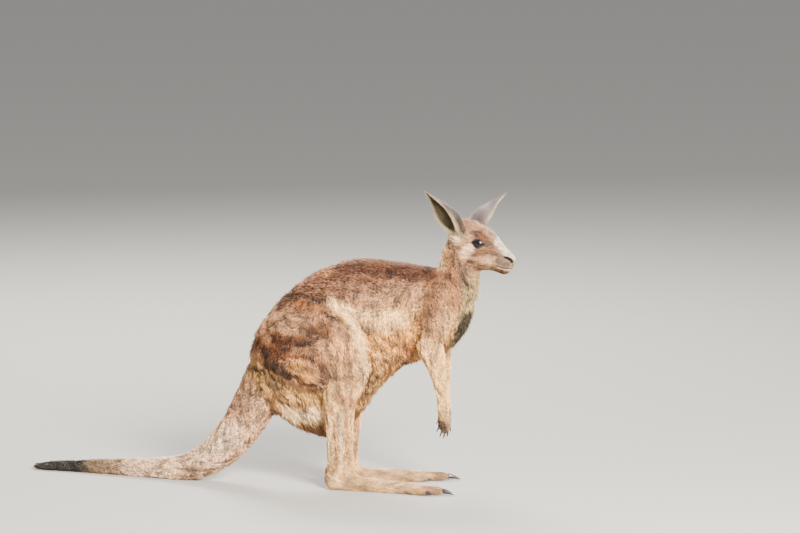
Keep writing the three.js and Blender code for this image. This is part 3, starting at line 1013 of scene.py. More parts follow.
CHEST_MARKS = (
    Mark("nape", ((404, 575), (404, 500)), 16, (232, 202, 170), 0.9, (Part.NECK,)),
    Mark("neck_brown", ((412, 496), (408, 460)), 22, (120, 84, 62), 0.85, FRONT),
    Mark("throat", ((478, 500), (470, 456)), 26, (204, 184, 154), 0.95, FRONT, comb=(0.5, -0.87),
         length=1.15),
    # Dark line between the throat's locks: painted shade.
    Mark("throat_gap", ((446, 512), (458, 486), (472, 470)), 5, (104, 82, 62), 0.85, FRONT),
    Mark("chest", ((474, 450), (456, 400), (436, 350)), 30, (186, 172, 148), 0.95, FRONT,
         comb=(-0.3, -0.95), length=1.1),
    # A painted shadow down the right side of the chest, between the pale locks.
    Mark("chest_gap", ((460, 404), (432, 346)), 19, (92, 84, 74), 1, FRONT, side=Side.RIGHT),
    Mark("shoulder", ((428, 452), (412, 424)), 24, (188, 147, 118), 0.8, (*FRONT, Part.UPPER_ARM)),
    Mark("withers", ((390, 534), (376, 514)), 26, (56, 39, 31), 0.95, (Part.TRUNK, Part.UPPER_ARM)),
    Mark("shoulder_shade", ((394, 500), (382, 440), (366, 400)), 26, (132, 97, 75), 0.65,
         (*FRONT, Part.UPPER_ARM), core=0.15, ragged=0.5),
    # Darker in the armpit: painted shade under the arm.
    Mark("armpit", ((352, 410), (356, 368)), 12, (116, 84, 60), 0.8, TORSO),
)

TRUNK_MARKS = (
    Mark("back_flecks", ((170, 512), (200, 514), (300, 508), (370, 500)), 17, (116, 82, 64), 0.8, TORSO),
    Mark("back_rear", ((36, 462), (80, 492), (132, 512)), 20, (190, 148, 122), 0.85, TORSO),
    Mark("flank_pale", ((214, 410), (250, 404), (310, 404)), 34, (252, 222, 186), 0.9, TORSO),
    Mark("flank_gold", ((252, 346), (300, 352), (350, 368)), 38, (242, 193, 126), 0.9, TORSO,
         comb=(0.3, -0.95), length=1.15),
    Mark("belly_gold_front", ((316, 332), (346, 340)), 16, (206, 148, 88), 0.8, TORSO),
    # Paler along the ridge of the back: a painted rim light.
    Mark("ridge_light", ((150, 522), (190, 534), (232, 538)), 13, (186, 150, 128), 0.75, TORSO),
    Mark("belly_rear_fur", ((246, 250), (206, 186)), 26, (190, 159, 122), 0.9, TORSO),
    # Dark gaps between the belly's locks: pressed in, and painted as shade.
    Mark("belly_gap_front", ((300, 330), (312, 296)), 5, (74, 50, 30), 1, TORSO, dent=1.5),
    Mark("belly_gap_middle", ((264, 340), (276, 300)), 4, (74, 50, 30), 1, TORSO, dent=1.5),
    Mark("belly_gap_rear", ((240, 304), (250, 262)), 4, (84, 60, 38), 0.9, TORSO, dent=1.5),
    Mark("belly_gap_small", ((286, 360), (292, 338)), 3, (110, 78, 52), 0.75, TORSO),
)

HAUNCH_MARKS = (
    # Pale band over the hip and down the thigh's front edge: partly the coat's own and partly a painted
    # highlight.
    Mark("hip_band", ((150, 442), (186, 428), (206, 394), (219, 352), (221, 290), (211, 250)), 17,
         (255, 226, 194), 0.9, (Part.THIGH, Part.TRUNK), comb=(0.5, -0.86), ragged=0.35),
    # A painted shadow in the fold in front of the thigh's pale edge.
    Mark("thigh_edge", ((228, 386), (241, 352), (241, 290), (229, 248), (206, 208)), 6.5, (136, 92, 54),
         0.9, (Part.THIGH, Part.TRUNK), dent=3),
    # Painted shade in the crease between the hip and the thigh; the next mark paints the same shade without
    # pressing it in.
    Mark("hip_crease", ((44, 444), (79, 437), (107, 438), (135, 448)), 9, (90, 64, 47), 0.95, HAUNCH,
         dent=1.5),
    Mark("hip_crease_shade", ((56, 454), (84, 451), (106, 451)), 9, (84, 60, 45), 0.85, HAUNCH),
    Mark("hip_gold", ((74, 432), (104, 426), (136, 420)), 13, (190, 138, 92), 0.8, HAUNCH),
    Mark("hip_whorl", ((134, 420), (156, 410), (174, 402)), 9, (96, 64, 44), 0.9, HAUNCH, dent=1.5),
    Mark("rump_rose", ((4, 404), (34, 392)), 26, (192, 158, 138), 0.8, HAUNCH),
    Mark("rump_edge", ((-30, 366), (-32, 334)), 13, (172, 142, 124), 0.8, HAUNCH),
    Mark("rump_rust", ((30, 356), (60, 352), (88, 352)), 22, (106, 67, 33), 0.9, HAUNCH),
    Mark("rump_spot", ((122, 376), (142, 368)), 7, (106, 78, 60), 0.85, HAUNCH, dent=2),
    # Painted shade in a fold of the rump.
    Mark("rump_fold", ((74, 350), (104, 352), (128, 365)), 7, (58, 36, 20), 0.95, HAUNCH, dent=3),
    Mark("rump_orange", ((44, 324), (84, 322), (124, 320)), 11, (190, 136, 88), 0.8, HAUNCH),
    Mark("seat_dark", ((-16, 340), (8, 322), (40, 326)), 22, (116, 72, 34), 0.9, HAUNCH, dent=1.5),
    Mark("seat_streaks", ((4, 294), (36, 292), (56, 278)), 17, (96, 62, 36), 0.9, HAUNCH),
    Mark("cowlick", ((80, 297), (104, 275)), 23, (206, 165, 120), 0.95, HAUNCH, comb=(0.8, -0.6), dent=-3,
         length=1.2, lift=0.5, ragged=0.15, core=0.65),
    # Painted shadows under and over the raised lock of the cowlick.
    Mark("cowlick_under", ((58, 284), (84, 262), (114, 258), (134, 274)), 4, (82, 57, 41), 0.9, HAUNCH,
         dent=2.5),
    Mark("cowlick_over", ((64, 320), (100, 323), (130, 302)), 5, (100, 70, 48), 0.8, HAUNCH, dent=1),
    Mark("thigh_brown_high", ((112, 374), (140, 386)), 21, (132, 98, 70), 0.9, LEG),
    Mark("thigh_light", ((172, 344), (196, 330), (194, 270)), 28, (240, 199, 160), 0.9, LEG),
    Mark("thigh_grey", ((140, 300), (140, 270)), 16, (122, 92, 70), 0.8, LEG),
    Mark("seat_tuft", ((-30, 312), (-25, 301)), 6, (206, 170, 140), 0.9, HAUNCH, length=1.2, lift=0.4),
    # Painted shadow under the seat's raised tuft; seat_gap paints more of it without pressing in.
    Mark("seat_tuft_under", ((-28, 284), (-4, 277), (20, 266), (38, 252)), 9, (54, 37, 27), 0.95, HAUNCH,
         dent=1.5),
    Mark("seat_gap", ((-38, 276), (-13, 269), (10, 262)), 8, (58, 40, 29), 0.9, HAUNCH),
    Mark("buttock_locks", ((2, 258), (24, 236), (46, 208)), 19, (166, 138, 112), 0.9, HAUNCH,
         comb=(0.35, -0.93), length=1.3, lift=0.3),
    # Painted shade in the crease between the tail and the buttock.
    Mark("tail_gap", ((2, 254), (14, 228), (34, 198)), 6, (84, 58, 40), 0.9, HAUNCH, dent=2),
    Mark("groin", ((46, 182), (72, 173), (104, 178), (138, 178)), 28, (255, 236, 214), 0.95, HAUNCH,
         length=1.2, core=0.3, ragged=0.45),
    # Painted shade in a gap between the groin's locks.
    Mark("groin_gap", ((76, 220), (88, 178)), 6, (110, 82, 56), 0.9, HAUNCH, length=1.2),
    # Darker brown at the foot of the pouch: partly the coat's own and partly painted shade under the pouch.
    Mark("pouch_foot", ((86, 142), (124, 130), (150, 130)), 14, (136, 104, 58), 0.95, TORSO),
    Mark("knee_pale", ((134, 246), (148, 214)), 9, (236, 208, 176), 0.8, LEG),
    # Painted shade in the fold by the knee.
    Mark("knee_slit", ((126, 222), (132, 204)), 4.5, (98, 68, 48), 0.85, LEG, dent=2),
    Mark("thigh_brown", ((170, 228), (200, 210)), 18, (190, 146, 118), 0.7, LEG),
)

LEG_MARKS = (
    # Paler along the shank's rear edge: a painted rim light.
    Mark("shank_rear", ((150, 180), (146, 70)), 8, (255, 236, 214), 0.9, (Part.SHANK,)),
    # Painted shade in the hollow by the tendon, a painted highlight along the raised shin, and painted shade
    # down its front.
    Mark("tendon_hollow", ((158, 170), (158, 60)), 4.5, (204, 162, 130), 0.8, (Part.SHANK,), dent=1.6),
    Mark("shin_ridge", ((173, 190), (174, 60)), 6, (255, 236, 216), 0.9, (Part.SHANK,), dent=-1.2),
    Mark("shin_shade", ((186, 200), (186, 60)), 5, (202, 162, 132), 0.7, (Part.SHANK,)),
    Mark("hock", ((150, 30), (170, 22)), 18, (250, 224, 190), 0.85, (Part.FOOT, Part.SHANK)),
    Mark("foot_top", ((230, 34), (330, 22)), 12, (224, 202, 184), 0.7, (Part.FOOT,)),
    Mark("toe_ends", ((380, 8), (440, 8)), 22, (172, 144, 124), 0.8, (Part.FOOT,)),
)

TAIL_MARKS = (
    Mark("tail_root", ((-10, 290), (-52, 240)), 34, (194, 160, 139), 0.8, TAIL, core=0.15),
    Mark("tail_pale", ((0, 214), (-40, 150), (-84, 96)), 34, (236, 204, 184), 0.85, TAIL, core=0.1),
    Mark("tail_bend", ((-96, 128), (-128, 88), (-190, 48)), 48, (255, 233, 222), 0.95, TAIL, core=0.05,
         ragged=0.5),
    Mark("tail_dusk", ((-392, 16), (-450, 14)), 56, (176, 153, 134), 0.9, TAIL, core=0.1, ragged=0.5),
    Mark("tail_end", ((-520, 12), (-640, 8)), 82, (76, 68, 62), 1, TAIL, ragged=0.2),
)

ARM_MARKS = (
    Mark("arm_front", ((420, 430), (412, 370)), 12, (240, 206, 172), 0.85, (Part.UPPER_ARM,)),
    Mark("elbow", ((366, 352), (374, 340)), 14, (218, 188, 166), 0.8, (Part.UPPER_ARM, Part.FOREARM)),
    Mark("forearm_streak", ((384, 330), (392, 250)), 5, (176, 138, 110), 0.6, (Part.FOREARM,)),
    Mark("finger_ends", ((404, 160), (410, 138)), 15, (60, 48, 43), 0.95, (Part.PAW,)),
)

# The order matters: a later mark is laid over those before it
MARKS = (*FACE_MARKS, *CHEST_MARKS, *TRUNK_MARKS, *HAUNCH_MARKS, *LEG_MARKS, *TAIL_MARKS, *ARM_MARKS)


@dataclass(frozen=True)
class Swirl:
    """A place on the rump where the hair turns round."""

    x: float
    z: float
    radius: float
    turn: float  # how far the lie is turned at the middle, in degrees


SWIRLS = (
    Swirl(112, 368, 34, 120),
    Swirl(58, 402, 30, -90),
    Swirl(20, 360, 30, 80),
    Swirl(60, 332, 26, -110),
    Swirl(152, 414, 26, 100),
    Swirl(60, 252, 24, -70),
    Swirl(30, 228, 24, 70),
)

# The way the hair lies on the parts where it lies one way all over
STRAIGHT_LIES = {
    Part.NECK: (0.05, 0, -1),
    Part.SHANK: (0.02, 0, -1),
    Part.FOOT: (1, 0, -0.12),
    Part.UPPER_ARM: (-0.12, 0, -1),
    Part.FOREARM: (0.1, 0, -1),
    Part.PAW: (0.1, 0, -1),
}
CLOUDS = ((46, 3, 0.05), (15, 4, 0.06))  # slow changes of shade: their width, seed and strength
WANDERS = ((34, 11, 16), (12, 12, 9))  # slow changes of the lie: their width, seed and degrees
STREAK_SEED = 7
STREAK_MOST = 2.4
# Fine streaks, broad streaks and locks: how far each is evened first, how far it is drawn, and its strength
STREAK_LAYERS = ((0, 9, 0.8), (3, 14, 0.4), (10, 26, 0.4))


@dataclass(frozen=True)
class FaceSteps:
    """Where the hair darkens (as painted shade at the nostrils, the mouth and the groove under the nose),
    shortens or stops by the edges of the face, in millimetres from an edge.
    """

    lid_dark: Pair = (3.2, 2.0)
    lid_bare: Pair = (1.5, 0.7)
    lid_short: Pair = (8.0, 2.0)
    lid_reach: float = 26.0  # how far from the middle of the ball the lids reach
    lid_short_reach: float = 30.0
    nostril_dark: Pair = (1.4, 0.2)
    nostril_bare: Pair = (2.0, 0.8)
    mouth_dark: Pair = (1.7, 0.7)
    mouth_dark_from: Pair = (114.0, 122.0)  # the u from which the mouth's line shows
    mouth_bare: Pair = (1.5, 0.8)
    mouth_bare_from: Pair = (112.0, 119.0)
    philtrum_dark: Pair = (2.0, 1.0)
    philtrum_bare: Pair = (2.0, 1.2)
    edge_short: Pair = (5.0, 1.0)


STEPS = FaceSteps()
# The lids are dark of their own; the nostrils, the mouth's line and the groove under the nose are painted
# near black, as painted shade in these hollows.
LID_COLOUR = (22, 17, 16)
NOSTRIL_COLOUR = (13, 10, 10)
MOUTH_COLOUR = (40, 30, 27)
PHILTRUM_COLOUR = (34, 27, 26)
BEHIND_BALL = 4.0  # places this far inside the middle of the ball are no part of the lids
NOT_LID = 30


@dataclass(frozen=True)
class Trim:
    """How the pelt changes at a place: the share by which each size grows, or shrinks where it is under 0."""

    length: float = 0.0
    width: float = 0.0
    dense: float = 0.0
    lift: float = 0.0


BELLY_TRIM = Trim(length=0.35, width=0.15)
BELLY_CLUMP = 0.35
BELLY_LIFT = 0.15
JAW_TRIM = Trim(length=-0.3, lift=-0.4)
MUZZLE_TRIM = Trim(length=-0.5, width=-0.35, dense=0.7)
EAR_FRINGE_TRIM = Trim(length=0.8, width=-0.4, dense=0.6)
EAR_FRINGE_LIFT = 3.0
EAR_FOOT_TRIM = Trim(length=0.9, width=0.3)
EAR_FOOT_LIFT = 2.5


def trim(sizes: dict[str, Array], *cuts: tuple[Trim, Array]) -> None:
    """Changes the pelt's sizes.

    Args:
        sizes: The sizes, which are changed.
        cuts: How they change, each with how strongly at each corner.
    """
    for name in ("length", "width", "dense", "lift"):
        gain = 1.0
        for cut, weight in cuts:
            gain = gain + getattr(cut, name) * weight
        sizes[name] *= gain


@dataclass
class Coating:
    """What the hide is like at each of its corners: its parts, its colour and how the hair lies."""

    points: Array
    normals: Array
    shares: Array  # how far each corner belongs to each part
    blend: Array  # the same, blended far over the parts' edges
    ear_marks: Array  # up the ear, how near the rim, inner side; -1 elsewhere
    ear_ways: Array
    warmth: Colour = (0.655, 0.598, 0.445)
    pivot: float = 0.38  # colours darker than this are deepened, and paler ones made paler
    contrast: float = 1.42
    cheek_fall: float = 0.35  # how far the hair of the cheek slopes down
    nape_rise: float = 0.12

    def __post_init__(self) -> None:
        """Works out the places in the head's frame and how high each place is on the trunk."""
        self.heads = HEAD.into(self.points)
        x, top, low = np.array(TRUNK_RIBS, float).T
        top = np.interp(self.points[:, 0], x, top)
        low = np.interp(self.points[:, 0], x, low)
        self.height = np.clip((self.points[:, 2] - low) / (top - low), 0, 1)
        self.weights = [mark.weight(self.points, self.blend, self.heads) for mark in MARKS]
        around = EYE.from_ball(self.heads)
        self.from_eye = np.linalg.norm(around, axis=1)
        self.lid = EYE.opening(around) + np.where(around[:, 1] < -BEHIND_BALL, NOT_LID, 0)
        self.mouth = mouth_gap(self.heads)
        self.nostril = nostril_gap(self.heads)
        self.philtrum = philtrum_gap(self.heads)
        self.is_head = self.shares[:, Part.HEAD.value]

    def of(self, *parts: Part) -> Array:
        """How far each corner belongs to some parts, blended far over their edges."""
        return self.blend[:, [part.value for part in parts]].sum(1)

    def ahead(self, lie: Array, reach: float) -> "Coating":
        """The same hide, read a share of the hair's length along its lie, but not on the head and ears."""
        body = 1 - self.of(Part.HEAD, Part.EAR)
        return replace(self, points=self.points + lie * (self.pelt()["length"] * reach * body)[:, None])

    def colours(self, least: float = 0.0) -> Array:
        """The coat's colour at each corner, with the painted shade and painted highlights that some marks and
        the face's hollows carry.

        Args:
            least: Marks with a smaller radius than this are left out.

        Returns:
            Linear light.
        """
        made = np.zeros((len(self.points), 3))
        stops = [stop for stop, _ in TRUNK_COLOURS]
        trunk = np.array([linear(colour) for _, colour in TRUNK_COLOURS])
        for k in range(3):
            own = np.interp(self.height, stops, trunk[:, k])
            made[:, k] += own * self.of(Part.TRUNK)
        for part, colour in PART_COLOURS.items():
            made += self.blend[:, part.value, None] * linear(colour)
        for mark, weight in zip(MARKS, self.weights):
            if mark.radius >= least:
                towards(made, mark.colour, weight * mark.strength)
        self.colour_head(made)
        self.colour_ears(made)
        cloud = sum(noise(self.points, size, seed) * strength for size, seed, strength in CLOUDS)
        made = self.pivot * (made / self.pivot) ** self.contrast
        return made * self.warmth * (1 + cloud)[:, None]

    def colour_head(self, made: Array) -> None:
        """Darkens the lids, and paints shade into the nostrils, the line of the mouth and the groove under
        the nose.

        Args:
            made: The colours, which are changed.
        """
        lips = smooth(*STEPS.mouth_dark_from, self.heads[:, 0])
        bare = (
            (LID_COLOUR, smooth(*STEPS.lid_dark, self.lid) * (self.from_eye < STEPS.lid_reach)),
            (NOSTRIL_COLOUR, smooth(*STEPS.nostril_dark, self.nostril)),
            (MOUTH_COLOUR, smooth(*STEPS.mouth_dark, self.mouth) * lips),
            (PHILTRUM_COLOUR, smooth(*STEPS.philtrum_dark, self.philtrum)),
        )
        for colour, weight in bare:
            towards(made, colour, weight * self.is_head)

    def colour_ears(self, made: Array) -> None:
        """Colours the ears: dark within, bluish grey behind, pale along the rim and brown at the foot, with
        painted shade at the right ear's foot.

        Args:
            made: The colours, which are changed.
        """
        up, rim, inner = self.ear_marks.T
        outer = 1 - inner
        on = (up >= 0).astype(float)
        on_right = self.points[:, 1] < 0
        foot_shade = np.where(on_right, 1.0, 0.5)  # the back of each ear's foot is darker; the right ear's gets it in full, as painted shade
        pale_rim = np.where(on_right, 1.0, smooth(0.25, 0.5, up))
        tints = (
            ((104, 92, 82), inner),
            ((186, 174, 160), inner * smooth(0.32, 0.74, rim) * smooth(0.8, 0.5, up)),
            ((94, 78, 72), outer * smooth(0.55, 0.3, up) * foot_shade),
            ((138, 112, 96), outer * smooth(0.24, 0.12, up) * smooth(0.75, 0.6, rim)),
            ((234, 220, 202), smooth(0.86, 0.96, rim) * (1 - 0.45 * smooth(0.5, 0.9, up)) * pale_rim),
            ((126, 104, 90), outer * smooth(0.6, 1.0, up) * 0.8 * smooth(0.9, 0.8, rim)),
        )
        for colour, weight in tints:
            towards(made, colour, weight * on)

    def lie(self) -> Array:
        """Works out which way the hair lies.

        Returns:
            A direction along the hide at each corner.
        """
        _, along = near_line(self.points[:, [0, 2]], TAIL_LINE)
        tail = np.stack([along[:, 0], np.zeros(len(along)), along[:, 1]], 1)
        above = smooth(0.66, 0.95, self.height)
        under = smooth(0.42, 0.1, self.height)
        side = 1 - above - under
        behind = smooth(250, 200, self.points[:, 0])
        front = smooth(40, 170, self.points[:, 0])
        flow = {part: np.array(way, float) for part, way in STRAIGHT_LIES.items()}
        flow |= {
            Part.TRUNK: self.blended((above, (-0.95, 0, -0.3)), (side * (1 - behind), (-0.34, 0, -0.93)),
                                     (side * behind, (0.35, 0, -0.93)), (under, (0.3, 0, -0.95))),
            Part.HEAD: self.head_lie(),
            Part.TAIL_BASE: tail,
            Part.TAIL_MIDDLE: tail,
            Part.TAIL_TIP: tail,
            Part.THIGH: self.blended((front, (0.3, 0, -0.95)), (1 - front, (-0.4, 0, -0.92))),
            Part.EAR: self.ear_ways,
        }
        total = np.zeros((len(self.points), 3))
        for part in Part:
            total += self.blend[:, part.value, None] * flow[part]
        for mark, weight in zip(MARKS, self.weights):
            if mark.comb is not None:
                total += (np.array([mark.comb[0], 0, mark.comb[1]]) - total) * weight[:, None]
        total = self.turned(total)
        total -= self.normals * dots(total, self.normals)[:, None]
        return unit(total)

    def blended(self, *ways: tuple[Array, Place]) -> Array:
        """Directions blended by their weights.

        Args:
            ways: How strongly each direction counts at each corner, and the direction.

        Returns:
            One direction for each corner.
        """
        total = np.zeros((len(self.points), 3))
        for weight, direction in ways:
            total += weight[:, None] * np.array(direction)
        return total

    def head_lie(self) -> Array:
        """The lie on the head: back from the nose and down the cheeks.

        Returns:
            One direction for each corner.
        """
        u, _, v = self.heads.T
        fall = -self.cheek_fall * smooth(20, -30, v) + self.nape_rise * smooth(70, 40, u)
        return HEAD.turned_out(np.stack([-np.ones_like(u), np.zeros_like(u), fall], 1))

    def turned(self, flow: Array) -> Array:
        """The lie with the rump's swirls and a slow wander.

        Args:
            flow: The lie before.

        Returns:
            The lie, turned over the hide.
        """
        angle = sum(turn * noise(self.points, size, seed) for size, seed, turn in WANDERS)
        haunch = self.of(Part.THIGH, Part.TRUNK)
        for swirl in SWIRLS:
            gap = np.hypot(self.points[:, 0] - swirl.x, self.points[:, 2] - swirl.z)
            angle += swirl.turn * smooth(swirl.radius, 0, gap) * haunch
        spin = np.radians(angle)[:, None]
        return flow * np.cos(spin) + np.cross(self.normals, flow) * np.sin(spin)

    def streaks(self, lie: Array, relax: Relax) -> Array:
        """Where the hair gathers in ridges and parts in gaps, which the tufts' tones turn into painted shade.

        Args:
            lie: The way the hair lies.
            relax: The hide's corners and their neighbours.

        Returns:
            About -2 in a gap to 2 on a ridge.
        """
        grain = np.random.default_rng(STREAK_SEED).normal(0, 1, len(self.points))
        layers = []
        for evened, drawn, strength in STREAK_LAYERS:
            start = relax(grain[:, None], evened)[:, 0]
            layers.append(strength * relax.draw_out(start, self.points, lie, drawn))
        fine, broad, locks = layers
        haunch = self.of(Part.THIGH) + 0.5 * self.of(Part.TRUNK, Part.NECK)
        return np.clip(fine + broad + locks * haunch, -STREAK_MOST, STREAK_MOST)

    def pelt(self) -> dict[str, Array]:
        """Works out the pelt's sizes.

        Returns:
            A number at each corner for each of the pelt's sizes, and for how far the hair is lifted.
        """
        sizes = {"depth": coat_depth(self.blend, self.heads)}
        for name in ("length", "width", "dense", "clump", "bend"):
            sizes[name] = self.blend @ np.array([getattr(PELTS[part], name) for part in Part])
        trunk = self.of(Part.TRUNK)
        hanging = BELLY_LIFT * smooth(0.3, 0.05, self.height) * smooth(-0.2, -0.8, self.normals[:, 2])
        sizes["lift"] = 1 + hanging * trunk
        under = smooth(0.45, 0.1, self.height) * trunk
        trim(sizes, (BELLY_TRIM, under))
        sizes["clump"] += BELLY_CLUMP * under
        for mark, weight in zip(MARKS, self.weights):
            sizes["length"] *= 1 + (mark.length - 1) * weight
            sizes["lift"] += mark.lift * weight
        trim(sizes, (JAW_TRIM, self.is_head * smooth(-20, -34, self.heads[:, 2])))
        trim(sizes, (MUZZLE_TRIM, self.is_head * smooth(40, 115, self.heads[:, 0])))
        self.trim_ears(sizes)
        self.thin_edges(sizes)
        return sizes

    def trim_ears(self, sizes: dict[str, Array]) -> None:
        """Lengthens the fringe of the ears' rims and the hair round their feet.

        Args:
            sizes: The pelt's sizes, which are changed.
        """
        up, rim, inner = self.ear_marks.T
        fringe = smooth(0.78, 0.95, rim) * (up >= 0)
        foot = smooth(0.34, 0.14, up) * (1 - inner) * (up >= 0)
        trim(sizes, (EAR_FRINGE_TRIM, fringe), (EAR_FOOT_TRIM, foot))
        sizes["lift"] += EAR_FRINGE_LIFT * fringe + EAR_FOOT_LIFT * foot

    def thin_edges(self, sizes: dict[str, Array]) -> None:
        """Leaves the lids, nostrils, lips and soles bare, and shortens the hair beside them.

        Args:
            sizes: The pelt's sizes, which are changed.
        """
        lips = smooth(*STEPS.mouth_bare_from, self.heads[:, 0])
        bare = np.maximum.reduce([
            smooth(*STEPS.lid_bare, self.lid) * (self.from_eye < STEPS.lid_reach),
            smooth(*STEPS.nostril_bare, self.nostril),
            smooth(*STEPS.mouth_bare, self.mouth) * lips,
            smooth(*STEPS.philtrum_bare, self.philtrum),
        ])
        keep = 1 - bare * self.is_head
        sole = smooth(-0.75, -0.95, self.normals[:, 2]) * smooth(9, 4, self.points[:, 2])
        sizes["dense"] *= np.maximum(keep, 0) * (1 - sole)
        near_eye = smooth(*STEPS.lid_short, self.lid) * (self.from_eye < STEPS.lid_short_reach)
        near_edge = smooth(*STEPS.edge_short, np.minimum(self.mouth, self.nostril))
        snout = smooth(130, 142, self.heads[:, 0]) * smooth(-10, -6, self.heads[:, 2])
        near_edge = np.maximum(near_edge, snout)
        sizes["length"] *= 1 - (0.7 * near_edge + 0.4 * near_eye) * self.is_head
        sizes["dense"] *= 1 + 0.7 * near_eye * self.is_head


# ---- the skin

# The lid's height over the ball, by how far it is outside the opening: tucked in, a rim, a fold and the brow
LID_PROFILE = ((-1.2, -4), (-0.2, -2.6), (0.5, 1.1), (2.0, 2.1), (3.6, 1.8), (5.0, 1.1), (6.5, 1.6))
LID_HOLD = (8.5, 4.0)  # how far outside the opening the lid lets go of the ball
LID_REACH = 27.0
LID_BACK = 3.0  # how far behind the middle of the ball the lids go


@dataclass
class Skin:
    """One hide over the whole animal, inside the solids by the depth of the coat."""

    grain: float = 3.2  # the size of the mesh's cells
    swell: float = 0.6  # how far the solids grow to close the gaps between them
    floor: float = 0.25
    shade: float = 0.5  # how dark the hide is painted under the coat, as the coat's painted shade
    near: float = 20.0  # how far a corner's part is looked for
    root_size: Place = (14, 14, 26)  # the swelling at the foot of an ear
    root_up: float = 0.04  # its place, as a share of the ear's length
    root_aside: float = 5.0
    crease_rounds: int = 36  # how far the creases between the parts are filled
    blend_rounds: int = 60
    muscle: float = 1.2  # the height of the soft lumps of the thigh
    muscle_size: float = 30.0
    mouth_depth: float = 2.4
    lip_height: float = 0.8
    nostril_depth: float = 4.4
    nostril_rim: float = 0.9
    philtrum_depth: float = 1.3
    cleft_depth: float = 1.0  # in the middle of the upper lip
    mesh: Mesh | None = None
    coating: Coating | None = None
    flesh: list[str] = field(default_factory=list)

    def part_of(self, node: str) -> Part | None:
        """Finds the part that a node of the frame is.

        Args:
            node: The node's name.

        Returns:
            The part, or None where the node isn't flesh that this skin wraps.
        """
        for part in Part:
            if part is not Part.EAR and node.startswith(part.name.lower()):
                return part
        return None

    def wrap(self) -> tuple[Mesh, Array]:
        """Wraps the flesh nodes in one even mesh.

        Returns:
            The mesh, and for each corner the share of each part that it belongs to.
        """
        joined = bmesh.new()
        trees: list[tuple[Part, BVHTree]] = []
        for name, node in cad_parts.items():
            part = self.part_of(name)
            if part is not None:
                self.flesh.append(name)
            elif not name.startswith("eye"):
                continue
            trees.append((part or Part.HEAD, self.add_flesh(joined, node.data)))
        for ear in EARS:
            self.add_root(joined, ear)
        rough = bpy.data.meshes.new("rough")
        joined.to_mesh(rough)
        joined.free()
        mesh = modified(rough, "REMESH", mode="VOXEL", voxel_size=self.grain / METRE)
        shares = np.zeros((len(mesh.vertices), len(Part)))
        reach = self.near / METRE
        for i, vert in enumerate(mesh.vertices):
            gaps = [(tree.find_nearest(vert.co, reach)[3] or 1.0, k) for k, (_, tree) in enumerate(trees)]
            shares[i, trees[min(gaps)[1]][0].value] = 1.0
        return mesh, shares

    def add_flesh(self, joined: BMesh, solid: Mesh) -> BVHTree:
        """Adds a slightly swollen copy of a solid.

        Args:
            joined: What it is added to.
            solid: The solid's mesh, which is left as it is.

        Returns:
            A tree for finding the nearest place on the solid.
        """
        lump = solid.copy()
        with opened(lump) as own:
            bmesh.ops.remove_doubles(own, verts=own.verts, dist=SAME_POINT)
            own.normal_update()
            tree = BVHTree.FromBMesh(own)
            for vert in own.verts:
                vert.co += vert.normal * self.swell / METRE
        joined.from_mesh(lump)
        bpy.data.meshes.remove(lump)
        return tree

    def add_root(self, joined: BMesh, ear: Ear) -> None:
        """Adds a rounded swelling at the foot of an ear.

        Args:
            joined: What it is added to.
            ear: The ear.
        """
        way = np.array(ear.tip) - np.array(ear.root)
        middle = np.array(ear.root) + way * self.root_up - unit(np.array(ear.open)) * self.root_aside
        place = Matrix.Translation(Vector((middle + FORWARD) / METRE))
        turn = Vector(way).to_track_quat("Z", "Y").to_matrix().to_4x4()
        size = Matrix.Diagonal([length / METRE for length in self.root_size] + [1])
        bmesh.ops.create_icosphere(joined, subdivisions=3, radius=1, matrix=place @ turn @ size)

    def settle(self, mesh: Mesh, shares: Array) -> tuple[Array, Array]:
        """Rounds the mesh, fills the creases between the parts and takes it in by the depth of the coat.

        Args:
            mesh: The wrapped mesh, which is changed.
            shares: Each corner's own part.

        Returns:
            The shares blended across the creases, and blended far over them.
        """
        relax = Relax(mesh)
        points = points_of(mesh)
        close = relax(shares, 5)
        crease = relax(np.clip((1 - close.max(1, keepdims=True)) * 2.4, 0, 1), 6)[:, 0]
        muzzle = close[:, Part.HEAD.value] * smooth(30, 70, HEAD.into(points)[:, 0])
        firm = muzzle + close[:, [Part.PAW.value, Part.FOOT.value]].sum(1)
        points = relax(points, self.crease_rounds, np.clip(crease * (1 - 0.75 * firm), 0, 0.6))
        points = relax(points, 3, 0.5 * (1 - firm))
        points = relax.even(points, 6, np.ones(len(points)))
        shares = relax(close, 10)
        blend = relax(shares, self.blend_rounds)
        put_points(mesh, points)
        off_floor = smooth(0, 26, points[:, 2] + 8 * (1 - firm))
        depth = coat_depth(shares, HEAD.into(points)) * off_floor
        points = points - normals_of(mesh) * depth[:, None]
        points[:, 2] = np.maximum(points[:, 2], self.floor)
        put_points(mesh, relax(points, 2, 0.3 * (1 - firm)))
        return shares, blend

    def refine_head(self, mesh: Mesh, fields: Array) -> Array:
        """Makes the mesh of the head finer, and finest round the eyes, the nose and the mouth.

        Args:
            mesh: The settled mesh, which is changed.
            fields: Its corners' shares of each part, and any further values.

        Returns:
            The same for the finer mesh's corners.
        """
        for finest in (False, True):
            heads = HEAD.into(points_of(mesh))
            inside = fields[:, Part.HEAD.value] > 0.3
            if finest:
                by_eye = np.linalg.norm(EYE.from_ball(heads), axis=1) < LID_REACH
                inside &= by_eye | (heads[:, 0] > 90)
            with opened(mesh) as work:
                edges = [e for e in work.edges if inside[e.verts[0].index] and inside[e.verts[1].index]]
                bmesh.ops.subdivide_edges(work, edges=edges, cuts=1, use_grid_fill=True)
                bmesh.ops.triangulate(work, faces=work.faces)
            fields = self.carried(mesh, fields)
        return fields

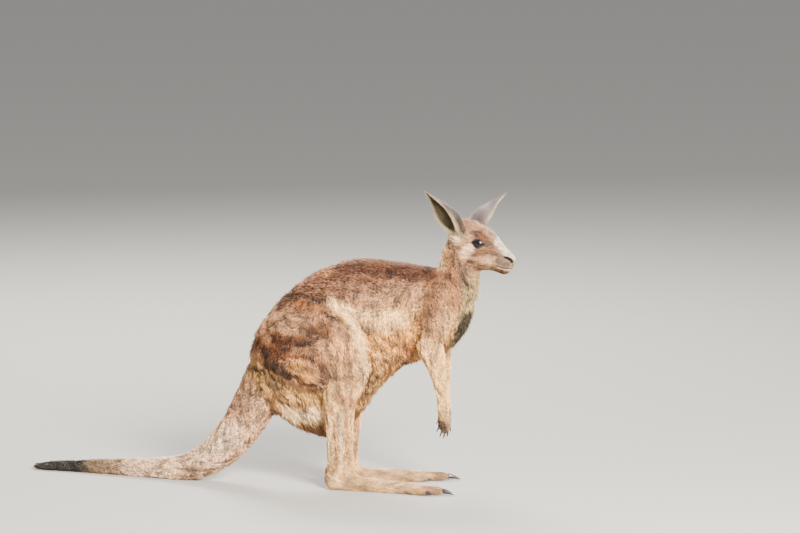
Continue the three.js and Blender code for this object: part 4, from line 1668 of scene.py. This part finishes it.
    def carried(self, mesh: Mesh, fields: Array) -> Array:
        """Carries values over to a subdivided mesh, whose new corners take their neighbours' mean.

        Args:
            mesh: The subdivided mesh.
            fields: The values at the corners that it had before.

        Returns:
            The values at all of its corners.
        """
        count = len(mesh.vertices)
        known = np.zeros((count, 1))
        known[: len(fields)] = 1
        full = np.zeros((count, fields.shape[1]))
        full[: len(fields)] = fields
        relax = Relax(mesh)
        for _ in range(3):
            mean = relax(full, 1, 1.0)
            seen = relax(known, 1, 1.0)
            fresh = (known[:, 0] == 0) & (seen[:, 0] > 0)
            full[fresh] = mean[fresh] / seen[fresh]
            known[fresh] = 1
        return full

    def carve_head(self, mesh: Mesh, shares: Array) -> None:
        """Shapes the lids, their folds, the nostrils, the mouth and the lips.

        Args:
            mesh: The refined mesh, which is changed.
            shares: How far its corners belong to each part.
        """
        relax = Relax(mesh)
        head = shares[:, Part.HEAD.value]
        points = points_of(mesh)
        around = EYE.from_ball(HEAD.into(points))
        socket = smooth(5, 2, EYE.opening(around)) * (around[:, 1] > -6)
        points = relax(points, 40, 0.5 * socket * head)
        points = relax.even(points, 6, smooth(0.3, 0.8, head))
        heads = self.set_lids(HEAD.into(points), head)
        points = HEAD.out(heads)
        put_points(mesh, points)
        points = points - normals_of(mesh) * (self.face_press(heads) * smooth(0.3, 0.7, head))[:, None]
        put_points(mesh, relax(points, 1, 0.25 * head))

    def face_press(self, heads: Array) -> Array:
        """How far the face is pressed in at the mouth and the nose.

        Args:
            heads: The hide's corners as u, y, v.

        Returns:
            Millimetres at each corner, under 0 where a lip or a rim stands out.
        """
        u, y, v = heads.T
        mouth, nostril = mouth_gap(heads), nostril_gap(heads)
        press = self.mouth_depth * bell(mouth, 0, 1.1) - self.lip_height * bell(mouth, 3.2, 1.6)
        press *= smooth(110, 120, u)
        press += self.nostril_depth * smooth(1.0, -2.0, nostril)
        press -= self.nostril_rim * bell(nostril, 2.2, 1.3) * smooth(124, 132, u)
        press += self.philtrum_depth * bell(philtrum_gap(heads), 0, 0.9)
        press += self.cleft_depth * (smooth(2.2, 0.4, np.abs(y)) * (u > 144) * smooth(3, -1, v))
        return press

    def set_lids(self, heads: Array, head: Array) -> Array:
        """Lays the lids on the eyeballs, with a fold round them, and opens the sockets.

        Args:
            heads: The hide's corners as u, y, v.
            head: How far each belongs to the head.

        Returns:
            Their new places.
        """
        around = EYE.from_ball(heads)
        reach = np.linalg.norm(around, axis=1)
        on = (around[:, 1] > -LID_BACK) & (reach < LID_REACH) & (head > 0.3)
        gap = EYE.opening(around)
        hold = smooth(*LID_HOLD, gap) * on
        lid = read_off(LID_PROFILE, gap)
        new_reach = np.where(on, reach + (EYE.radius + lid - reach) * hold, reach)
        centre = np.array([EYE.u, EYE.y, EYE.v])
        moved = centre + around / np.maximum(reach, 1e-6)[:, None] * new_reach[:, None]
        heads = heads.copy()
        heads[on] = np.stack([moved[on, 0], moved[on, 1] * np.sign(heads[on, 1]), moved[on, 2]], 1)
        return heads

    def press_marks(self, mesh: Mesh, shares: Array) -> None:
        """Presses in the folds and raises the ridges that the marks name.

        Args:
            mesh: The settled mesh, which is changed.
            shares: How far its corners belong to each part.
        """
        points = points_of(mesh)
        heads = HEAD.into(points)
        sink = np.zeros(len(points))
        for mark in MARKS:
            if mark.dent:
                sink += mark.dent * mark.weight(points, shares, heads)
        sink += self.muscle * noise(points, self.muscle_size, 21) * shares[:, Part.THIGH.value]
        put_points(mesh, points - normals_of(mesh) * sink[:, None])

    def add_ears(self, mesh: Mesh, fields: Array) -> tuple[Array, Array, Array]:
        """Adds the two ears to the hide.

        Args:
            mesh: The carved mesh, which is changed.
            fields: Its corners' shares, close and blended.

        Returns:
            The shares, the ear marks and the ear hair's way for every corner.
        """
        count = len(mesh.vertices)
        marks, ways = np.full((count, 3), -1.0), np.zeros((count, 3))
        marks[:, 1:] = 0
        with opened(mesh) as work:
            for ear in EARS:
                points, faces, own = ear.build()
                made = mesh_of("ear", points, faces)
                work.from_mesh(made)
                bpy.data.meshes.remove(made)
                rings = points.reshape(ear.rings + 1, -1, 3)
                marks = np.concatenate([marks, own])
                ways = np.concatenate([ways, unit(np.gradient(rings, axis=0).reshape(-1, 3))])
                belongs = np.zeros((len(points), fields.shape[1]))
                belongs[:, Part.EAR.value :: len(Part)] = 1
                fields = np.concatenate([fields, belongs])
                self.flesh.append(f"ear_{ear.side}")
        return fields, marks, ways

    def build(self, finish: CoatFinish) -> Object:
        """Builds the hide.

        Args:
            finish: How it looks.

        Returns:
            The hide, which stands for every flesh node.
        """
        mesh, shares = self.wrap()
        mesh.name = "hide"
        shares, blend = self.settle(mesh, shares)
        self.press_marks(mesh, blend)
        fields = self.refine_head(mesh, np.concatenate([shares, blend], 1))
        self.carve_head(mesh, fields)
        fields, marks, ways = self.add_ears(mesh, fields)
        shares, blend = np.split(fields, 2, axis=1)
        shade_smooth(mesh)
        self.mesh = mesh
        self.coating = Coating(points_of(mesh), normals_of(mesh), shares, blend, marks, ways)
        piece = piece_of(mesh, finish.material())
        unwrap(piece)
        # The hide is painted darker wherever the coat grows thick on it, as painted shade under the coat;
        # bare places keep their full colour.
        bare = np.clip(1.5 - self.coating.pelt()["dense"] / 12, 0, 1)
        paint(mesh, self.coating.colours() * (self.shade + (1 - self.shade) * bare)[:, None])
        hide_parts(*self.flesh)
        return piece


# ---- the coat


@dataclass(frozen=True)
class Zone:
    """A stretch of the coat that is one piece."""

    name: str
    slot: str
    parts: tuple[Part, ...]
    low: float = 0.0  # from how high on the trunk
    high: float = 1.01
    side: Side = Side.BOTH

    def holds(self, own: Array, height: Array, y: Array) -> Array:
        """Which triangles are in the zone.

        Args:
            own: The part of each triangle.
            height: How high each is on the trunk.
            y: How far each is to the left.

        Returns:
            True for each triangle in the zone.
        """
        found = np.isin(own, [part.value for part in self.parts])
        found &= (height >= self.low) & (height < self.high)
        if self.side is not Side.BOTH:
            found &= y * self.side.value > 0
        return found


BACK_FROM = 0.74
FLANK_FROM = 0.22
ZONES = (
    Zone("coat_head", "coat_face", (Part.HEAD,)),
    Zone("coat_ears", "coat_ear", (Part.EAR,)),
    Zone("coat_neck", "coat_face", (Part.NECK,)),
    Zone("coat_back", "coat_back", (Part.TRUNK,), low=BACK_FROM),
    Zone("coat_flank_right", "coat_flank", (Part.TRUNK,), FLANK_FROM, BACK_FROM, Side.RIGHT),
    Zone("coat_flank_left", "coat_flank", (Part.TRUNK,), FLANK_FROM, BACK_FROM, Side.LEFT),
    Zone("coat_belly", "coat_pale", (Part.TRUNK,), high=FLANK_FROM),
    Zone("coat_thigh_right", "coat_back", (Part.THIGH,), side=Side.RIGHT),
    Zone("coat_thigh_left", "coat_back", (Part.THIGH,), side=Side.LEFT),
    Zone("coat_tail", "coat_tail", (Part.TAIL_BASE, Part.TAIL_MIDDLE)),
    Zone("coat_tail_end", "coat_dark", (Part.TAIL_TIP,)),
    Zone("coat_shanks", "coat_pale", (Part.SHANK,)),
    Zone("coat_feet", "coat_pale", (Part.FOOT,)),
    Zone("coat_upper_arms", "coat_back", (Part.UPPER_ARM,)),
    Zone("coat_forearms", "coat_pale", (Part.FOREARM,)),
    Zone("coat_paws", "coat_dark", (Part.PAW,)),
)


@dataclass(frozen=True)
class Habit:
    """How a tuft is made: its triangles, and each corner's place in the tuft's patch and its level, darkest
    at the root as painted shade.
    """

    faces: tuple[tuple[int, int, int], ...]
    map: Line
    levels: tuple[float, ...]


# A long tuft pointed at both ends, and a short hair on a three-cornered foot. Their levels paint the root
# dark, as painted shade deep in the coat, and the tip pale.
TUFT = Habit(
    ((0, 2, 1), (0, 3, 2), (0, 1, 3), (1, 2, 4), (2, 3, 4), (3, 1, 4)),
    ((0.5, 0.0), (0.0, 0.4), (1.0, 0.4), (0.5, 0.4), (0.5, 1.0)),
    (0.36, 0.9, 0.9, 0.95, 1.28),
)
HAIR = Habit(
    ((0, 2, 1), (0, 1, 3), (1, 2, 3), (2, 0, 3)),
    ((0.0, 0.0), (1.0, 0.0), (0.5, 0.0), (0.5, 1.0)),
    (0.75, 0.75, 0.75, 1.14),
)


@dataclass(frozen=True)
class Growth:
    """How tufts stand and differ. Heights are shares of the coat's depth, lengths of the hair's length."""

    aside: float = 9.0  # degrees off the lie
    length: Pair = (0.6, 1.2)
    height: Pair = (0.5, 1.08)
    width: Pair = (0.6, 1.25)
    ridge_height: float = 0.22  # how much higher the tufts of a ridge stand
    strays: float = 0.05  # how many tufts stand out
    stray_height: float = 1.6
    steepest: float = 0.8
    bend: float = 0.4
    middle_length: float = 0.4
    middle_height: float = 0.75
    hook: float = 0.3  # how far the tip comes back from the bend
    sunk: float = 0.15  # how deep the foot is under the hide
    middle_pull: float = 0.3  # how far the middle follows the tip into its lock
    most_pull: float = 0.35
    hair_foot: float = 0.42  # half the width of a short hair's foot
    tuft_waist: float = 0.5
    thickness: float = 0.8


@dataclass(frozen=True)
class Shading:
    """How tufts differ in shade: at random, and by the painted shade of the gaps between ridges."""

    locks: float = 0.07
    streaks: float = 0.26  # how much lighter the ridges are painted than the gaps, which get painted shade
    each: float = 0.13
    flecks: float = 0.16  # how many tufts are dark
    fleck_dark: Pair = (0.3, 0.6)
    limits: Pair = (0.3, 1.5)
    warmth: float = 0.03
    marked: Pair = (0.85, 0.35)  # how strongly small marks show in a tuft: mean and spread
    most_marked: float = 1.2
    least: float = 0.004  # no tuft is blacker


@dataclass
class Coat:
    """The tufts over the hide, zone by zone."""

    skin: Skin
    finish: CoatFinish
    growth: Growth = Growth()
    shading: Shading = Shading()
    patch: float = 0.003  # how wide a tuft is in the map of its finish
    map_edge: float = 0.0005
    floor: float = 0.3
    clump_share: float = 0.62  # how far apart the locks are, as a share of the hair's length
    broad: float = 16.0  # marks with a smaller radius than this break up into single tufts
    reach: float = 0.6  # how far along a tuft its colour is read
    first_seed: int = 100

    def __post_init__(self) -> None:
        """Reads the hide's triangles and what it is like at their corners."""
        mesh, coating = self.skin.mesh, self.skin.coating
        mesh.calc_loop_triangles()
        self.faces = read_list(mesh.loop_triangles, "vertices", 3, np.int32)
        loops = read_list(mesh.loop_triangles, "loops", 3, np.int32)
        self.maps = read_list(mesh.uv_layers[MAP_NAME].data, "uv", 2)[loops]
        a, b, c = (coating.points[self.faces[:, i]] for i in range(3))
        self.areas = np.linalg.norm(np.cross(b - a, c - a), axis=1) / 2
        self.own = coating.shares[self.faces].mean(1).argmax(1)
        self.height = coating.height[self.faces].mean(1)
        self.across = coating.points[self.faces, 1].mean(1)
        lie = coating.lie()
        shown = coating.ahead(lie, self.reach)
        self.fields = coating.pelt() | {
            "points": coating.points,
            "normals": coating.normals,
            "lie": lie,
            "streak": coating.streaks(lie, Relax(mesh)),
            "colours": shown.colours(),
            "ground": shown.colours(self.broad),
        }

    def sow(self, zone: Zone, seed: int) -> dict[str, Array]:
        """Scatters the zone's roots.

        Args:
            zone: Which zone.
            seed: Which scatter.

        Returns:
            The hide's fields at each root, and the root's place in the map.
        """
        rng = np.random.default_rng(seed)
        inside = zone.holds(self.own, self.height, self.across)
        weight = self.areas * self.fields["dense"][self.faces].mean(1) * inside / 100
        number = int(weight.sum())
        steps = np.cumsum(weight)
        picks = np.searchsorted(steps, (np.arange(number) + rng.random(number)) / number * steps[-1])
        picks = np.minimum(picks, len(steps) - 1)
        spread = rng.random((number, 2))
        over = spread.sum(1) > 1
        spread[over] = 1 - spread[over]
        share = np.stack([1 - spread.sum(1), spread[:, 0], spread[:, 1]], 1)
        corners = self.faces[picks]
        found = {name: np.einsum("ij,ij...->i...", share, own[corners]) for name, own in self.fields.items()}
        found["map"] = np.einsum("ij,ijk->ik", share, self.maps[picks])
        normals = unit(found["normals"])
        found["normals"] = normals
        found["lie"] = unit(found["lie"] - normals * dots(found["lie"], normals)[:, None])
        return found

    def grow(self, zone: Zone, seed: int) -> Object:
        """Grows the zone's tufts.

        Args:
            zone: Which zone.
            seed: Which scatter.

        Returns:
            The piece of coat.
        """
        roots = self.sow(zone, seed)
        rng = np.random.default_rng(seed + 1000)
        habit = HAIR if PELTS[zone.parts[0]].spike else TUFT
        points, shade = self.shape(roots, habit, rng)
        count, per = points.shape[:2]
        faces = np.arange(count)[:, None, None] * per + np.array(habit.faces)
        mesh = mesh_of(zone.name, points.reshape(-1, 3), faces.reshape(-1, 3))
        tone = self.tones(roots, shade, rng)
        # Each corner is painted at its habit's level: the root darker, as painted shade deep in the coat.
        paint(mesh, (tone[:, None] * np.array(habit.levels)[None, :, None]).reshape(-1, 3))
        self.lay_map(mesh, roots["map"], habit)
        return piece_of(mesh, self.finish.material())

    def shape(self, roots: dict[str, Array], habit: Habit, rng: Generator) -> tuple[Array, Array]:
        """Shapes the tufts.

        Args:
            roots: The hide's fields at each root.
            habit: How the tufts are made.
            rng: The draw.

        Returns:
            The corners of each tuft, and the shade of its lock.
        """
        growth = self.growth
        root, normal, lie = roots["points"], roots["normals"], roots["lie"]
        count = len(root)
        aside = np.radians(rng.normal(0, growth.aside, count))[:, None]
        lie = lie * np.cos(aside) + np.cross(normal, lie) * np.sin(aside)
        side = np.cross(normal, lie)
        length = roots["length"] * rng.uniform(*growth.length, count)
        rise = roots["depth"] * roots["lift"] * rng.uniform(*growth.height, count)
        rise *= 1 + growth.ridge_height * roots["streak"]
        rise *= np.where(rng.random(count) < growth.strays, growth.stray_height, 1.0)
        rise = np.minimum(rise, length * growth.steepest)
        bend = roots["bend"] * length * rng.normal(0, growth.bend, count)
        width = roots["width"] * rng.uniform(*growth.width, count)
        middle = root + lie * (length * growth.middle_length)[:, None]
        middle = middle + normal * (rise * growth.middle_height)[:, None] + side * bend[:, None]
        tip = root + lie * length[:, None] + normal * rise[:, None] - side * (bend * growth.hook)[:, None]
        shade, pull = self.clumps(root, roots["clump"], roots["length"], rng)
        middle += pull * growth.middle_pull
        tip += pull
        base = root - normal * (growth.sunk * roots["depth"])[:, None]
        if habit is HAIR:
            corners = [*self.ring(base, side, normal, width * growth.hair_foot), tip]
        else:
            corners = [base, *self.ring(middle, side, normal, width * growth.tuft_waist), tip]
        points = np.stack(corners, 1)
        points[:, :, 2] = np.maximum(points[:, :, 2], self.floor)
        return points, shade

    def ring(self, at: Array, side: Array, normal: Array, half: Array) -> list[Array]:
        """The corners of each tuft's section: two at half its width to each side, and one over them."""
        over = normal * (half * self.growth.thickness)[:, None]
        return [at - side * half[:, None], at + side * half[:, None], at + over]

    def clumps(self, root: Array, clump: Array, length: Array, rng: Generator) -> tuple[Array, Array]:
        """Draws tufts together in locks.

        Args:
            root: The tufts' roots.
            clump: How far each is drawn.
            length: How long the hair is at each.
            rng: The draw.

        Returns:
            A shade for each tuft's lock, and how far its tip moves.
        """
        spacing = self.clump_share * float(np.median(length))
        cells = np.floor(root / spacing).astype(np.int64)
        kept = np.unique(cells, axis=0, return_index=True)[1]
        centres = root[kept]
        tree = KDTree(len(centres))
        for i, centre in enumerate(centres):
            tree.insert(centre, i)
        tree.balance()
        nearest = np.array([tree.find(place)[1] for place in root])
        pull = (centres[nearest] - root) * clump[:, None]
        reach = np.linalg.norm(pull, axis=1)
        pull *= np.minimum(1, self.growth.most_pull * length / np.maximum(reach, 1e-6))[:, None]
        return rng.normal(0, self.shading.locks, len(centres))[nearest], pull

    def tones(self, roots: dict[str, Array], shade: Array, rng: Generator) -> Array:
        """Works out each tuft's colour, some dark among the pale, with painted shade in the gaps between
        ridges.

        Args:
            roots: The hide's fields at each root.
            shade: The shade of each tuft's lock.
            rng: The draw.

        Returns:
            Linear light for each tuft.
        """
        own = self.shading
        count = len(shade)
        # Tufts in the gaps between ridges are painted darker and those on the ridges lighter: painted shade.
        light = 1 + shade + own.streaks * roots["streak"] + rng.normal(0, own.each, count)
        fleck = (rng.random(count) < own.flecks) * rng.uniform(*own.fleck_dark, count)
        light = np.clip(light - fleck, *own.limits)
        warm = rng.normal(0, own.warmth, count)
        marked = np.clip(rng.normal(*own.marked, count), 0.0, own.most_marked)[:, None]
        ground = roots["ground"]
        made = np.maximum(ground + (roots["colours"] - ground) * marked, own.least)
        return made * light[:, None] * np.stack([1 + warm, np.ones(count), 1 - warm], 1)

    def lay_map(self, mesh: Mesh, places: Array, habit: Habit) -> None:
        """Lays each tuft out as a small patch at its root's place in the hide's map.

        Args:
            mesh: The coat's mesh, which gets the map.
            places: Each root's place in the map.
            habit: How the tufts are made.
        """
        spot = (np.array(habit.map) - 0.5) * self.patch
        corners = np.clip(places[:, None] + spot[None], self.map_edge, 1 - self.map_edge)
        layer = mesh.uv_layers.new(name=MAP_NAME)
        layer.data.foreach_set("uv", corners[:, np.ravel(habit.faces)].reshape(-1, 2).ravel())

    def build(self) -> list[Object]:
        """Grows every zone.

        Returns:
            The pieces of coat.
        """
        made = []
        for i, zone in enumerate(ZONES):
            made.append(self.grow(zone, self.first_seed + i))
            log.info("%s: %d triangles", zone.name, len(made[-1].data.polygons))
        return made


# ---- eyes and claws


@dataclass
class Eye:
    """One eyeball, with its pupil looking out and a little forward."""

    side: Side
    gaze: Place = (0.3, 1.0, 0.04)
    rings: int = 28
    turns: int = 56
    inset: float = 0.15
    bulge: float = 0.7  # how far the cornea stands out
    cornea: float = 0.55  # how wide the cornea is, in radians
    iris: float = 1.15  # where the iris ends, in radians

    def ball(self) -> tuple[Array, list[float]]:
        """Works out the ball, looking up.

        Returns:
            Its corners in rings from the pupil back, and how far each is from the pupil to the iris's rim.
        """
        rows, marks = [], []
        for i in range(self.rings + 1):
            angle = math.pi * i / self.rings
            swell = 1 + self.bulge / EYE.radius * math.exp(-((angle / self.cornea) ** 2))
            for j in range(self.turns):
                spin = 2 * math.pi * j / self.turns
                out = math.sin(angle)
                way = np.array([out * math.cos(spin), out * math.sin(spin), math.cos(angle)])
                rows.append(way * (EYE.radius - self.inset) * swell)
                marks.append(min(angle / self.iris, 1.0))
        return np.array(rows), marks

    def build(self, finish: EyeFinish) -> Object:
        """Builds the ball.

        Args:
            finish: How it looks.

        Returns:
            The eye, which stands for its node.
        """
        sign = self.side.value
        axis = Vector((self.gaze[0], self.gaze[1] * sign, self.gaze[2])).normalized()
        turn = np.array(axis.to_track_quat("Z", "Y").to_matrix())
        rows, marks = self.ball()
        points = HEAD.out(rows @ turn.T + np.array([EYE.u, EYE.y * sign, EYE.v]))
        faces = []
        for i in range(self.rings):
            for j in range(self.turns):
                a, b = i * self.turns + j, i * self.turns + (j + 1) % self.turns
                faces += [(a, a + self.turns, b + self.turns), (a, b + self.turns, b)]
        name = self.side.name.lower()
        mesh = mesh_of(f"eyeball_{name}", points, np.array(faces))
        with opened(mesh) as work:
            layer = work.verts.layers.float.new("Ring")
            for vert, mark in zip(work.verts, marks):
                vert[layer] = mark
            bmesh.ops.remove_doubles(work, verts=work.verts, dist=1e-6)
            bmesh.ops.dissolve_degenerate(work, edges=work.edges, dist=1e-7)
            bmesh.ops.recalc_face_normals(work, faces=work.faces)
        piece = piece_of(mesh, finish.material())
        unwrap(piece)
        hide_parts(f"eye_{name}")
        return piece


@dataclass
class Claws:
    """The claws of the toes and fingers, rounded from their solids."""

    finish: HornFinish
    rounding: int = 2  # how often each is subdivided

    def build(self) -> list[Object]:
        """Rounds each claw.

        Returns:
            The claws, each of which stands for its node.
        """
        horn = self.finish.material()
        made = []
        for name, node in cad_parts.items():
            if "claw" not in name:
                continue
            solid = node.data.copy()
            with opened(solid) as work:
                bmesh.ops.remove_doubles(work, verts=work.verts, dist=SAME_POINT)
            mesh = modified(solid, "SUBSURF", levels=self.rounding)
            mesh.name = f"horn_{name}"
            shade_smooth(mesh)
            mesh.materials.clear()
            piece = piece_of(mesh, horn)
            unwrap(piece)
            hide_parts(name)
            made.append(piece)
        return made


# ---- the studio


@dataclass(frozen=True)
class Lamp:
    """A square soft lamp: its place and size in metres, its power in watts and its linear colour."""

    name: str
    place: Place
    size: float
    power: float
    colour: Colour
    aim: Place = (0.15, 0, 0.35)  # the animal's middle

    def build(self) -> None:
        """Hangs the lamp, turned to the animal's middle."""
        data = bpy.data.lights.new(self.name, "AREA")
        data.size = self.size
        data.energy = self.power
        data.color = self.colour
        lamp = bpy.data.objects.new(self.name, data)
        lamp.location = self.place
        lamp.rotation_mode = "QUATERNION"
        lamp.rotation_quaternion = (Vector(self.aim) - Vector(self.place)).to_track_quat("-Z", "Y")
        bpy.context.scene.collection.objects.link(lamp)


@dataclass
class Studio:
    """The floor, the lamps and the camera."""

    lamps: tuple[Lamp, ...] = (
        Lamp("key", (2.3, -3.3, 2.4), 1.3, 1120, (1.0, 0.96, 0.9)),
        Lamp("rim", (-1.0, 3.0, 3.2), 1.8, 438, (1.0, 0.97, 0.93)),
    )
    world_colour: Colour = (0.95, 0.96, 1.0)
    world_strength: float = 0.685
    azimuth: float = math.radians(8)
    elevation: float = math.radians(7.5)
    distance: float = 12.0
    focal: float = 5106.0  # in pixels of the rendered frame
    sensor: float = 36.0
    frame_size: tuple[int, int] = (800, 533)
    origin: Pair = (274.0, 483.7)  # where the point under the hocks falls in the frame
    floor_half: float = 60.0

    def build(self) -> None:
        """Sets up the floor, the lamps, the pale world and the camera."""
        self.floor()
        for lamp in self.lamps:
            lamp.build()
        self.world()
        self.camera()

    def floor(self) -> None:
        """Lays a pale floor under the feet."""
        h = self.floor_half
        mesh = bpy.data.meshes.new("studio_floor")
        mesh.from_pydata([(-h, -h, 0), (h, -h, 0), (h, h, 0), (-h, h, 0)], [], [(0, 1, 2, 3)])
        piece = bpy.data.objects.new("studio_floor", mesh)
        bpy.context.scene.collection.objects.link(piece)
        mesh.materials.append(FloorFinish().material())

    def world(self) -> None:
        """Lights the scene softly from all round."""
        world = bpy.data.worlds.new("studio")
        world.use_nodes = True
        back = world.node_tree.nodes["Background"]
        back.inputs["Color"].default_value = (*self.world_colour, 1)
        back.inputs["Strength"].default_value = self.world_strength
        bpy.context.scene.world = world

    def camera(self) -> None:
        """Sets a long lens to the animal's right, a little above."""
        a, e = self.azimuth, self.elevation
        look = Vector((-math.sin(a) * math.cos(e), math.cos(a) * math.cos(e), -math.sin(e)))
        right = Vector((math.cos(a), math.sin(a), 0))
        up = right.cross(look)
        wide, high = self.frame_size
        scale = self.distance / self.focal
        aside = (self.origin[0] - wide / 2) * scale
        down = (self.origin[1] - high / 2) * scale
        data = bpy.data.cameras.new("camera")
        data.sensor_width = self.sensor
        data.lens = self.focal * self.sensor / wide
        data.clip_end = 200
        camera = bpy.data.objects.new("camera", data)
        camera.location = Vector(FORWARD / METRE) - look * self.distance - right * aside + up * down
        camera.rotation_mode = "QUATERNION"
        camera.rotation_quaternion = look.to_track_quat("-Z", "Y")
        bpy.context.scene.collection.objects.link(camera)
        bpy.context.scene.camera = camera


def main() -> None:
    """Builds the kangaroo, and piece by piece."""
    Studio().build()
    skin = Skin()
    hide = skin.build(CoatFinish("hide", roughness=0.8, bump=0.3))
    log.info("%s: %d triangles", hide.name, len(hide.data.polygons))
    Coat(skin, CoatFinish()).build()
    for side in (Side.RIGHT, Side.LEFT):
        eye = Eye(side).build(EyeFinish())
        log.info("%s: %d faces", eye.name, len(eye.data.polygons))
    log.info("claws: %d", len(Claws(HornFinish()).build()))


if __name__ == "__main__":
    main()
